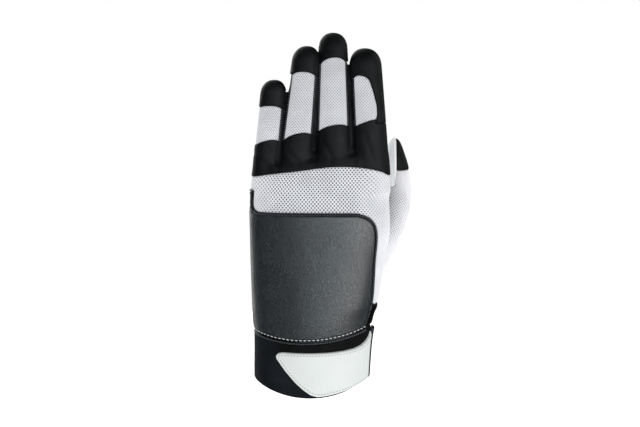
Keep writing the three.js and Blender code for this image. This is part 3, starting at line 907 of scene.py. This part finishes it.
def strew(name, lines, material, slot, length, width, height, lift, slant=0):
    """One piece of many stitches: each lies along its seam, turned by slant degrees."""
    shape, faces = bead()
    all_points, all_faces = [], []
    for places, along, out in lines:
        along = along - out * (along * out).sum(1, keepdims=True)
        along /= np.linalg.norm(along, axis=1, keepdims=True)
        side = np.cross(out, along)
        turn = math.radians(slant)
        way = along * math.cos(turn) + side * math.sin(turn)
        cross = np.cross(out, way)
        for i in range(len(places)):
            start = len(all_points) * len(shape)
            all_points.append(
                places[i] + out[i] * lift + shape[:, :1] * way[i] * length / 2
                + shape[:, 1:2] * cross[i] * width / 2 + shape[:, 2:] * out[i] * height / 2)
            all_faces += [[start + index for index in face] for face in faces]
    piece = build(name, np.concatenate(all_points), all_faces, material, smooth=80)
    return finish_piece(piece, slot)


# Cloth coordinates, in units of the knit's own repeat

def band_cloth():
    """Round the hand by the distance along a typical section, starting at the middle of the back."""
    square = BAND_SQUARE
    left, right, back, *_ = at_height(HAND_ROWS, Z)
    half = (right - left) / 2
    turns = np.linspace(0, math.pi, 800)
    across = np.sin(turns) ** (2 / square)
    deep = np.sign(np.cos(turns)) * np.abs(np.cos(turns)) ** (2 / square) * BAND_DEPTH
    way = np.concatenate([[0], np.cumsum(np.hypot(np.diff(across), np.diff(deep)))])
    sideways = np.abs(X - (left + right) / 2) / half
    turn = np.arctan2(sideways ** (square / 2), -np.sign(Y) * np.abs(Y / back) ** (square / 2))
    round_way = np.sign(X - (left + right) / 2) * BAND_HALF * np.interp(turn, turns, way)
    openness = 1 - 0.55 * fade(np.abs(X - 2) - 24, 16)
    openness *= 1 - 0.75 * fade(120 - Z, 16)
    openness *= 1 - fade(Y + 8, 6)
    return np.stack([round_way / BAND_REPEAT[0], Z / BAND_REPEAT[1], openness], 1)


def finger_cloth(finger):
    """Round a finger by the angle from its back, with smaller holes towards its sides."""
    angle = np.arctan2(X - finger_middle(finger, Z), middle_y(Z) - Y)
    openness = 0.72 - 0.4 * fade(np.abs(angle) - 0.5, 0.6)
    return np.stack([angle * FINGER_RADIUS / FINGER_REPEAT[0], Z / FINGER_REPEAT[1], openness], 1)


def thumb_cloth():
    """Round the thumb by the angle from its back, with rows that rise towards the hand."""
    centre_x, centre_y, *_ = at_height(THUMB_ROWS, Z)
    angle = np.arctan2(X - centre_x, centre_y - Y)
    openness = 0.8 - 0.65 * fade(Z - 124, 12) - 0.5 * fade(104 - Z, 16)
    openness *= 1 - 0.4 * fade(angle - 0.2, 0.8)
    openness *= 1 - fade(np.abs(angle) - 1.2, 0.5)
    across, up = THUMB_REPEAT
    return np.stack([angle * THUMB_RADIUS / across, (Z + 0.28 * X) / up, openness], 1)


# Materials

BLACK = (0.0, 0.0, 0.0, 1.0)
MIDDLE = (0.3, 0.7)  # the part of a noise that its patches fade over
# Painted shade on the cuff above the tab, where the tab and the wrist binding shade it: where it starts
# in height and across, in metres, and its colour
PAINTED_SHADE_RISE, PAINTED_SHADE_SIDE = (0.0275, 0.0315), (-0.028, -0.017)
PAINTED_SHADE_BLACK = (0.001, 0.001, 0.0013, 1.0)


class Nodes:
    """A material's nodes, added and wired by short calls."""

    def __init__(self, name):
        self.material = bpy.data.materials.new(name)
        self.material.use_nodes = True
        self.tree = self.material.node_tree
        self.shader = self.tree.nodes["Principled BSDF"]

    def add(self, kind, settings=None, **inputs):
        node = self.tree.nodes.new(kind)
        for key, value in (settings or {}).items():
            setattr(node, key, value)
        for key, value in inputs.items():
            self.put(node.inputs[key.replace("_", " ")], value)
        return node

    def put(self, socket, value):
        if isinstance(value, bpy.types.NodeSocket):
            self.tree.links.new(value, socket)
        else:
            socket.default_value = value

    def math(self, operation, *values):
        node = self.tree.nodes.new("ShaderNodeMath")
        node.operation = operation
        for socket, value in zip(node.inputs, values):
            self.put(socket, value)
        return node.outputs[0]

    def ramp(self, value, low, high, out_low=0.0, out_high=1.0):
        node = self.add("ShaderNodeMapRange", {"interpolation_type": "SMOOTHSTEP"})
        for key, number in (("Value", value), ("From Min", low), ("From Max", high),
                            ("To Min", out_low), ("To Max", out_high)):
            self.put(node.inputs[key], number)
        return node.outputs["Result"]

    def mix(self, share, one, other):
        node = self.add("ShaderNodeMix", {"data_type": "RGBA"})
        self.put(node.inputs[0], share)
        self.put(node.inputs[6], one)
        self.put(node.inputs[7], other)
        return node.outputs[2]

    def place(self):
        return self.add("ShaderNodeTexCoord").outputs["Object"]

    def noise(self, place, scale, detail):
        node = self.add("ShaderNodeTexNoise", Vector=place, Scale=scale, Detail=detail, Roughness=0.55)
        return node.outputs["Fac"]

    def creases(self, place, scale):
        """How far each place is from the edge of its cell."""
        feature = {"feature": "DISTANCE_TO_EDGE"}
        return self.add("ShaderNodeTexVoronoi", feature, Vector=place, Scale=scale).outputs["Distance"]

    def bump(self, height, strength, reach, normal=None):
        node = self.add("ShaderNodeBump", Height=height, Strength=strength, Distance=reach)
        if normal is not None:
            self.put(node.inputs["Normal"], normal)
        return node.outputs["Normal"]

    def finish(self, **inputs):
        for key, value in inputs.items():
            self.put(self.shader.inputs[key.replace("_", " ")], value)
        return self.material


def colour(red, green, blue):
    """A colour given as it looks on a screen, 0 to 255."""
    parts = []
    for value in (red, green, blue):
        value /= 255
        parts.append(value / 12.92 if value <= 0.04045 else ((value + 0.055) / 1.055) ** 2.4)
    return (*parts, 1.0)


def darker(tone, share):
    return (*[part * (1 - share) for part in tone[:3]], 1.0)


def leather(name, tone, mottle, grain, depth, rough, spec, lines=0.45, coat=0.0, pebble=0.0,
            band=False):
    """Grained leather. mottle is how much darker its patches are, grain the cells to a metre, depth
    how deep they are, lines how dark the creases between them, pebble the height of the coarse grain
    in metres, and band paints shade, nearly black, onto the cuff above the tab, where the tab and the
    wrist binding shade it."""
    nodes = Nodes(name)
    place = nodes.place()
    patches = nodes.ramp(nodes.noise(place, scale=60.0, detail=4.0), *MIDDLE)
    pebbles = nodes.ramp(nodes.creases(place, grain), 0.0, 0.16)
    fine = nodes.noise(place, scale=grain * 2.2, detail=2.0)
    patched = nodes.mix(patches, darker(tone, mottle), tuple(tone))
    base = nodes.mix(pebbles, nodes.mix(lines, patched, BLACK), patched)
    if band:
        axes = nodes.add("ShaderNodeSeparateXYZ", Vector=place).outputs
        above = nodes.ramp(axes["Z"], *PAINTED_SHADE_RISE)
        beside = nodes.ramp(axes["X"], *PAINTED_SHADE_SIDE)
        # painted shade: above the tab the cuff's colour goes nearly black, where the tab and the wrist
        # binding shade it
        base = nodes.mix(nodes.math("MULTIPLY", above, beside), base, PAINTED_SHADE_BLACK)
    relief = nodes.bump(nodes.noise(place, scale=180.0, detail=4.0), strength=0.25, reach=0.0006)
    if pebble:
        coarse = nodes.noise(place, scale=grain * 0.6, detail=1.0)
        relief = nodes.bump(coarse, strength=0.8, reach=pebble, normal=relief)
    relief = nodes.bump(pebbles, strength=depth, reach=0.00012, normal=relief)
    normal = nodes.bump(fine, strength=depth * 0.5, reach=0.00006, normal=relief)
    roughness = nodes.ramp(nodes.noise(place, scale=95.0, detail=3.0), *MIDDLE, *rough)
    return nodes.finish(
        Base_Color=base, Roughness=roughness, Normal=normal, Specular_IOR_Level=spec,
        Coat_Weight=coat, Coat_Roughness=0.34)


def knit(name, thread, shade, hole):
    """Holed knit on the cloth coordinates: one hole at each corner and centre of a repeat."""
    nodes = Nodes(name)
    cloth = nodes.add("ShaderNodeUVMap", {"uv_map": "cloth"}).outputs["UV"]
    apart = nodes.add("ShaderNodeSeparateXYZ", Vector=cloth)
    turn = 2 * math.pi
    wobble = nodes.noise(nodes.place(), scale=260.0, detail=2.0)
    across = nodes.math("ADD", apart.outputs["X"], nodes.math("MULTIPLY", wobble, WOBBLE_ACROSS))
    up = nodes.math("ADD", apart.outputs["Y"], nodes.math("MULTIPLY", wobble, WOBBLE_UP))
    waves = nodes.math(
        "MULTIPLY",
        nodes.math("COSINE", nodes.math("MULTIPLY", across, turn)),
        nodes.math("COSINE", nodes.math("MULTIPLY", up, turn)),
    )
    openness = nodes.add("ShaderNodeAttribute", {"attribute_name": "openness"}).outputs["Fac"]
    holes = nodes.math("MULTIPLY", nodes.ramp(waves, HOLE_START, HOLE_FULL), openness)
    ribs = nodes.ramp(waves, -0.9, 0.2)
    patches = nodes.noise(nodes.place(), scale=70.0, detail=3.0)
    white = nodes.mix(nodes.ramp(patches, *MIDDLE), shade, tuple(thread))
    white = nodes.mix(nodes.math("MULTIPLY", ribs, 0.35), white, shade)
    base = nodes.mix(holes, white, tuple(hole))
    fibres = nodes.noise(nodes.place(), scale=3500.0, detail=2.0)
    fluff = nodes.bump(fibres, strength=0.35, reach=0.0001)
    sunk = nodes.math("SUBTRACT", 1.0, holes)
    normal = nodes.bump(sunk, strength=0.8, reach=0.00035, normal=fluff)
    return nodes.finish(
        Base_Color=base, Roughness=0.8, Normal=normal, Specular_IOR_Level=0.25,
        Sheen_Weight=0.25, Sheen_Roughness=0.5,
    )


def thread(name, light):
    """Twisted thread: fine slanting strands, with painted shade in the grooves between them, so that the
    strands are lighter on top.
    """
    nodes = Nodes(name)
    place = nodes.place()
    strands = nodes.add(
        "ShaderNodeTexWave", {"wave_type": "BANDS", "bands_direction": "DIAGONAL"},
        Vector=place, Scale=900.0, Distortion=1.5)
    twist = strands.outputs["Fac"]
    # painted shade: the grooves between the strands are coloured darker than their tops
    base = nodes.mix(twist, darker(light, 0.35), tuple(light))
    normal = nodes.bump(twist, strength=0.4, reach=0.0001)
    return nodes.finish(Base_Color=base, Roughness=0.6, Normal=normal, Specular_IOR_Level=0.2)


MATERIALS = {}


def make_materials(tones):
    """Mixes every material from the tones that the user can change."""
    MATERIALS["mesh"] = knit("white_knit", tones.mesh, darker(tones.mesh, 0.15), tones.mesh_holes)
    MATERIALS["thumb_mesh"] = knit(
        "thumb_knit", tones.thumb_mesh, darker(tones.thumb_mesh, 0.12), tones.thumb_holes)
    MATERIALS["leather"] = leather(
        "black_leather", tones.black_leather, mottle=0.48, grain=1500.0, depth=0.5,
        rough=(0.42, 0.55), spec=0.14)
    MATERIALS["palm"] = leather(
        "palm_leather", tones.palm_leather, mottle=0.55, grain=1300.0, depth=0.6,
        rough=(0.5, 0.62), spec=0.25)
    MATERIALS["panel"] = leather(
        "grey_leather", tones.panel_leather, mottle=0.4, grain=1500.0, depth=1.0,
        rough=(0.31, 0.37), spec=1.0, lines=0.3, coat=0.4, pebble=0.00026)
    MATERIALS["tab"] = leather(
        "white_leather", tones.tab_leather, mottle=0.03, grain=1700.0, depth=0.12,
        rough=(0.45, 0.55), spec=0.4, lines=0.04)
    # painted light: the strip's white is lighter than the tab's white leather, making up for the shade it
    # lies in between the thumb and the hand, and the hem's is lighter still, as a lit copy of the same
    # leather
    MATERIALS["strip"] = leather(
        "thumb_leather", tones.thumb_leather, mottle=0.03, grain=1700.0, depth=0.1,
        rough=(0.5, 0.6), spec=0.3, lines=0.02)
    MATERIALS["hem"] = leather(
        "white_hem", tones.thumb_hem, mottle=0.01, grain=2000.0, depth=0.05,
        rough=(0.5, 0.6), spec=0.3, lines=0.0)
    MATERIALS["trim"] = leather(
        "black_binding", tones.binding, mottle=0.5, grain=2400.0, depth=0.3,
        rough=(0.3, 0.42), spec=0.25)
    MATERIALS["navy"] = leather(
        "navy_edge", tones.tab_edge, mottle=0.45, grain=2400.0, depth=0.2,
        rough=(0.5, 0.6), spec=0.3)
    # band=True paints shade into the cuff's colour above the tab, where the tab and the wrist binding
    # shade it
    MATERIALS["cuff"] = leather(
        "cuff_cloth", tones.cuff, mottle=0.45, grain=2600.0, depth=0.6,
        rough=(0.6, 0.75), spec=0.15, band=True)
    MATERIALS["white_thread"] = thread("white_thread", tones.white_thread)
    MATERIALS["grey_thread"] = thread("grey_thread", tones.grey_thread)
    MATERIALS["tick_thread"] = thread("tick_thread", tones.tick_thread)


# The studio

def make_floor():
    bpy.ops.object.select_all(action="DESELECT")
    bpy.ops.mesh.primitive_circle_add(
        vertices=96, radius=FLOOR_RADIUS, fill_type="NGON", location=(0, 0, FLOOR_Z))
    floor = bpy.context.active_object
    floor.name = "floor"
    bpy.ops.object.transform_apply(location=True, rotation=False, scale=False)
    nodes = Nodes("pale_floor")
    cloudy = nodes.noise(nodes.place(), scale=2.0, detail=2.0)
    shade = nodes.mix(cloudy, (0.90, 0.90, 0.90, 1), (0.94, 0.94, 0.94, 1))
    floor.data.materials.append(nodes.finish(
        Base_Color=shade, Roughness=0.9, Emission_Color=(1, 1, 1, 1), Emission_Strength=0.75))
    floor.visible_glossy = False


def make_room(scene):
    """White to the camera, dimmer in what it lights and almost dark in what mirrors it."""
    world = bpy.data.worlds.new("studio")
    world.use_nodes = True
    tree = world.node_tree
    rays = tree.nodes.new("ShaderNodeLightPath")
    dim = tree.nodes.new("ShaderNodeMix")
    dim.inputs[2].default_value, dim.inputs[3].default_value = ROOM_LIGHT, ROOM_GLOSS
    tree.links.new(rays.outputs["Is Glossy Ray"], dim.inputs[0])
    bright = tree.nodes.new("ShaderNodeMix")
    bright.inputs[3].default_value = 1.0
    tree.links.new(rays.outputs["Is Camera Ray"], bright.inputs[0])
    tree.links.new(dim.outputs[0], bright.inputs[2])
    background = tree.nodes["Background"]
    background.inputs["Color"].default_value = (1, 1, 1, 1)
    tree.links.new(bright.outputs[0], background.inputs["Strength"])
    scene.world = world
    scene.view_settings.view_transform = "Standard"


def make_camera(scene):
    rise = math.radians(CAMERA_RISE)
    data = bpy.data.cameras.new("camera")
    data.lens, data.sensor_width = LENS, SENSOR
    data.clip_start, data.clip_end = 0.05, 50.0
    camera = bpy.data.objects.new("camera", data)
    scene.collection.objects.link(camera)
    x, y, z = CAMERA_TARGET
    camera.location = (x, y - CAMERA_AWAY * math.cos(rise), z + CAMERA_AWAY * math.sin(rise))
    camera.rotation_euler = (math.radians(90) - rise, 0, 0)
    scene.camera = camera


def hang(lamp, scene):
    """One soft box, turned to the glove."""
    light = bpy.data.lights.new(lamp.name, "AREA")
    light.shape, light.size, light.size_y = "RECTANGLE", lamp.width, lamp.height
    light.energy, light.color = lamp.power, lamp.colour
    box = bpy.data.objects.new(lamp.name, light)
    scene.collection.objects.link(box)
    box.visible_diffuse, box.visible_glossy = lamp.matt, lamp.mirrored
    if lamp.only:
        lit = bpy.data.collections.new("lit_by_" + lamp.name)
        for name in lamp.only:
            lit.objects.link(bpy.data.objects[name])
        box.light_linking.receiver_collection = lit
        box.light_linking.blocker_collection = lit
    turn, rise = math.radians(lamp.turn), math.radians(lamp.rise)
    back = Vector((
        math.sin(turn) * math.cos(rise), -math.cos(turn) * math.cos(rise), math.sin(rise)))
    box.location = Vector(CAMERA_TARGET) + back * lamp.distance
    box.rotation_euler = back.to_track_quat("Z", "Y").to_euler()


# Sizes and colours that a user can change

def size(name, description, default):
    """A length property, given in millimetres."""
    return bpy.props.FloatProperty(
        name=name, description=description, default=default * MM, min=0.0, max=0.01, unit="LENGTH",
        precision=5)


def tone(name, description, *screen):
    """A colour property, given as it looks on a screen."""
    return bpy.props.FloatVectorProperty(
        name=name, description=description, default=colour(*screen), min=0.0, max=1.0, size=4,
        subtype="COLOR")


class GloveSizes(bpy.types.PropertyGroup):
    """Heights, thicknesses and stitches"""

    leather_height: size("Leather height", "How far the black leather stands above the knit", 0.5)
    panel_edge: size("Panel edge", "How far the padded panel's rim stands up", 0.9)
    panel_puff: size("Panel puff", "How much higher the padded panel is in its middle", 0.9)
    piping_height: size("Piping height", "How far the piping stands up", 1.0)
    binding_roll: size("Binding roll", "Height of the roll along the wrist binding's edge", 0.85)
    tab_lift: size("Tab lift", "How far the closure tab lies above the cuff", 1.25)
    tab_thickness: size("Tab thickness", "Thickness of the closure tab", 2.0)
    stitch_length: size("Stitch length", "Length of the white stitches under the panel", 2.0)
    stitch_width: size("Stitch width", "Width of the white stitches under the panel", 0.72)
    stitch_pitch: size("Stitch pitch", "From one white stitch to the next", 2.7)
    tick_pitch: size("Overcast pitch", "From one stitch over the piping to the next", 1.6)
    fold_depth: size("Fold depth", "Depth of the folds across the palm", 0.5)


class GloveColours(bpy.types.PropertyGroup):
    """Colours of the cloths, leathers and threads"""

    mesh: tone("Mesh", "Knit on the back and the fingers", 238, 239, 244)
    mesh_holes: tone("Mesh holes", "What shows through the knit", 84, 86, 100)
    thumb_mesh: tone("Thumb mesh", "Knit on the thumb", 250, 250, 254)
    thumb_holes: tone("Thumb holes", "What shows through the knit on the thumb", 120, 122, 136)
    black_leather: tone("Black leather", "Knuckle band, caps, gussets and thumb patch", 20, 23, 25)
    palm_leather: tone("Palm leather", "Palm and the palm side of the fingers", 24, 25, 27)
    panel_leather: tone("Panel leather", "Padded panel", 22, 34, 41)
    tab_leather: tone("Tab leather", "Closure tab", 224, 229, 227)
    # painted light: the strip and the hem are coloured lighter than the tab's white leather, making up
    # for the shade the strip lies in
    thumb_leather: tone("Thumb leather", "Strip along the thumb", 246, 250, 253)
    thumb_hem: tone("Thumb hem", "Hem between the thumb's strip and patch", 254, 255, 255)
    binding: tone("Binding", "Piping, wrist binding and vent", 9, 11, 13)
    tab_edge: tone("Tab edge", "Dark edge at the end of the tab", 30, 36, 58)
    cuff: tone("Cuff", "Stretch cloth of the cuff", 23, 30, 37)
    white_thread: tone("White thread", "Stitches under the padded panel", 236, 240, 242)
    grey_thread: tone("Grey thread", "Stitches on the tab", 186, 189, 188)
    tick_thread: tone("Overcast thread", "Stitches on bindings, gussets and palm", 112, 118, 126)


# Operators

class GLOVE_OT_materials(bpy.types.Operator):
    """Mixes the leathers, the knit and the threads"""

    bl_idname = "glove.materials"
    bl_label = "Materials"

    def execute(self, context):
        make_materials(context.scene.glove_colours)
        return {"FINISHED"}


class GLOVE_OT_cuff(bpy.types.Operator):
    """Sews the cuff with the tab that closes it"""

    bl_idname = "glove.cuff"
    bl_label = "Cuff and tab"

    def execute(self, context):
        panel("cuff", MATERIALS["cuff"], "cuff_cloth", proud=0.9, low=0.1, roll=1.2, thick=1.3)
        sizes = context.scene.glove_sizes
        lift, thickness = sizes.tab_lift / MM, sizes.tab_thickness / MM
        panel("closure_tab", MATERIALS["tab"], "white_leather", proud=thickness, low=0.4, roll=1.0,
              thick=0.0, lift=lift)
        line = moved_outline(TAB_OUTLINE, -TAB_SEAM)
        strew("tab_stitches", [seam(line[1:-1], 1.9, furthest=-7)], MATERIALS["grey_thread"], "binding",
              length=1.3, width=0.55, height=0.5, lift=lift + thickness)
        panel("tab_anchor", MATERIALS["navy"], "binding", proud=thickness + 0.1, low=0.6, roll=0.7,
              thick=0.0, lift=lift)
        return {"FINISHED"}


class GLOVE_OT_wrist(bpy.types.Operator):
    """Rolls the binding round the wrist and the vent"""

    bl_idname = "glove.wrist"
    bl_label = "Wrist binding and vent"

    def execute(self, context):
        def height(inside, values):
            up = values[:, -1]
            roll = np.sqrt(np.maximum(1 - ((up - ROLL_HALF) / ROLL_HALF) ** 2, 0))
            return turned_edge(inside, proud=0.15, low=-0.4, roll=0.5) + rise * roll

        rise = context.scene.glove_sizes.binding_roll / MM
        above_edge = Z - binding_z(X)
        panel("wrist_binding", MATERIALS["trim"], "binding", height=height, under=0.2,
              levels=[0.1, 0.5], ridge=(above_edge, ROLL_RINGS))
        line = graph(lambda x: binding_z(x) + ROLL_HALF, -36, 34)
        strew("binding_ticks", [seam(line, 1.5)], MATERIALS["tick_thread"], "binding",
              length=1.4, width=0.5, height=0.55, lift=rise + 0.25, slant=62)
        panel("vent_binding", MATERIALS["trim"], "binding", proud=1.0, low=-0.3, roll=2.6, under=0.1,
              levels=[0.15, 0.5, 1.0, 1.8, 2.6])
        return {"FINISHED"}


class GLOVE_OT_padded_panel(bpy.types.Operator):
    """Puffs the padded panel on the back of the hand"""

    bl_idname = "glove.padded_panel"
    bl_label = "Padded panel"

    def execute(self, context):
        def height(inside, values):
            edge = turned_edge(inside, proud=sizes.panel_edge / MM, low=-0.3, roll=1.2)
            puff = np.sin(fade(inside, PUFF_REACH) * math.pi / 2)
            return edge + puff * sizes.panel_puff / MM

        sizes = context.scene.glove_sizes
        piece = panel("padded_panel", MATERIALS["panel"], "panel_leather", height=height,
                      levels=[0.08, 0.3, 0.6, 1.2])
        line = graph(lambda x: wrist_seam_z(x) + 0.1, -37.6, 33.8) + [(34.8, 46.2), (35.4, 47.6)]
        strew("panel_stitches", [seam(line, sizes.stitch_pitch / MM)], MATERIALS["white_thread"],
              "binding", length=sizes.stitch_length / MM, width=sizes.stitch_width / MM, height=0.7,
              lift=0.35, slant=-4)
        return {"FINISHED"}


class GLOVE_OT_piping(bpy.types.Operator):
    """Runs the overcast piping round the padded panel"""

    bl_idname = "glove.piping"
    bl_label = "Piping"

    def execute(self, context):
        sizes = context.scene.glove_sizes
        proud = sizes.piping_height / MM
        panel("panel_piping", MATERIALS["trim"], "binding", proud=proud, low=-0.1, roll=0.84,
              under=0.1, levels=[0.06, 0.2, 0.45])
        line = moved_outline(piping_outline(), -OVERCAST_IN)
        strew("piping_overcast", [seam(line[3:-3], sizes.tick_pitch / MM)], MATERIALS["tick_thread"],
              "binding", length=1.3, width=0.5, height=0.7, lift=proud - 0.1, slant=66)
        return {"FINISHED"}


class GLOVE_OT_back(bpy.types.Operator):
    """Sews the mesh and the knuckle band on the back of the hand"""

    bl_idname = "glove.back"
    bl_label = "Back of the hand"

    def execute(self, context):
        panel("back_mesh", MATERIALS["mesh"], "white_mesh", low=-0.9, roll=1.6, under=0.8,
              levels=[0, 0.5, 1.6], uv=band_cloth())
        proud = context.scene.glove_sizes.leather_height / MM
        panel("knuckle_band", MATERIALS["leather"], "black_leather", proud=proud, low=-0.2, roll=0.8,
              folds=knuckle_folds)
        return {"FINISHED"}


class GLOVE_OT_fingers(bpy.types.Operator):
    """Sews the mesh, the caps and the gussets of the fingers"""

    bl_idname = "glove.fingers"
    bl_label = "Fingers"

    def execute(self, context):
        proud = context.scene.glove_sizes.leather_height / MM
        for index, finger in enumerate(FINGERS):
            panel(finger[0] + "_mesh", MATERIALS["mesh"], "white_mesh", low=-0.9, roll=1.2, under=0.6,
                  levels=[0, 0.4, 1.2], uv=finger_cloth(finger))
            panel(finger[0] + "_cap", MATERIALS["leather"], "black_leather", proud=proud, low=-0.2,
                  roll=0.8)
        for index in range(3):
            panel(gusset_name(index), MATERIALS["leather"], "black_leather", proud=-0.5, low=-0.7,
                  roll=0.6)
        lines = []
        for index, mesh in enumerate(FINGER_PANELS):
            if index < 3:
                lines.append(seam([mesh[2], mesh[3]], GUSSET_PITCH))
            if index > 0:
                lines.append(seam([mesh[0], mesh[5]], GUSSET_PITCH))
        strew("gusset_stitches", lines, MATERIALS["tick_thread"], "black_leather",
              length=1.2, width=0.6, height=0.6, lift=0.25, slant=90)
        return {"FINISHED"}


class GLOVE_OT_thumb(bpy.types.Operator):
    """Sews the thumb"""

    bl_idname = "glove.thumb"
    bl_label = "Thumb"

    def execute(self, context):
        proud = context.scene.glove_sizes.leather_height / MM
        panel("thumb_mesh", MATERIALS["thumb_mesh"], "white_mesh", low=-0.9, roll=1.2, under=0.6,
              levels=[0, 0.4, 1.2], uv=thumb_cloth())
        panel("thumb_strip", MATERIALS["strip"], "white_leather", low=-0.3, roll=0.8)
        panel("thumb_hem", MATERIALS["hem"], "white_leather", proud=1.0, low=0.1, roll=0.7, thick=0.1,
              fresh=True)
        panel("thumb_patch", MATERIALS["leather"], "black_leather", proud=proud, low=-0.2, roll=0.8)
        panel("thumb_palm", MATERIALS["palm"], "palm_leather", low=-0.35, roll=0.9, folds=palm_folds)
        return {"FINISHED"}


class GLOVE_OT_palm(bpy.types.Operator):
    """Sews the palm"""

    bl_idname = "glove.palm"
    bl_label = "Palm"

    def execute(self, context):
        panel("palm_leather", MATERIALS["palm"], "palm_leather", low=-0.35, roll=0.9,
              folds=palm_folds)
        line = graph(lambda x: binding_z(x) + 1.9, -34, 32)
        strew("palm_stitches", [seam(line, 2.4, palm=True)], MATERIALS["tick_thread"], "palm_leather",
              length=1.7, width=0.6, height=0.5, lift=0.1)
        return {"FINISHED"}


class GLOVE_OT_stage(bpy.types.Operator):
    """Sets the floor, the room's light, the camera and the lamps"""

    bl_idname = "glove.stage"
    bl_label = "Stage"

    def execute(self, context):
        make_floor()
        make_room(context.scene)
        make_camera(context.scene)
        for lamp in LAMPS:
            hang(lamp, context.scene)
        return {"FINISHED"}


class GLOVE_PT_panel(bpy.types.Panel):
    """Lists the steps in the order that they are run"""

    bl_label = "Glove"
    bl_idname = "GLOVE_PT_panel"
    bl_space_type = "VIEW_3D"
    bl_region_type = "UI"
    bl_category = "Glove"

    def draw(self, context):
        for step in STEPS:
            self.layout.operator(step.bl_idname)
        for group in (context.scene.glove_sizes, context.scene.glove_colours):
            box = self.layout.box()
            for name in group.__annotations__:
                box.prop(group, name)


STEPS = (
    GLOVE_OT_materials,
    GLOVE_OT_cuff,
    GLOVE_OT_wrist,
    GLOVE_OT_padded_panel,
    GLOVE_OT_piping,
    GLOVE_OT_back,
    GLOVE_OT_fingers,
    GLOVE_OT_thumb,
    GLOVE_OT_palm,
    GLOVE_OT_stage,
)
CLASSES = (GloveSizes, GloveColours, *STEPS, GLOVE_PT_panel)


def register():
    for each in CLASSES:
        bpy.utils.register_class(each)
    bpy.types.Scene.glove_sizes = bpy.props.PointerProperty(type=GloveSizes)
    bpy.types.Scene.glove_colours = bpy.props.PointerProperty(type=GloveColours)


def unregister():
    del bpy.types.Scene.glove_colours
    del bpy.types.Scene.glove_sizes
    for each in reversed(CLASSES):
        bpy.utils.unregister_class(each)


def main():
    register()
    bpy.ops.glove.materials()
    bpy.ops.glove.cuff()
    bpy.ops.glove.wrist()
    bpy.ops.glove.padded_panel()
    bpy.ops.glove.piping()
    bpy.ops.glove.back()
    bpy.ops.glove.fingers()
    bpy.ops.glove.thumb()
    bpy.ops.glove.palm()
    bpy.ops.glove.stage()


if __name__ == "__main__":
    main()
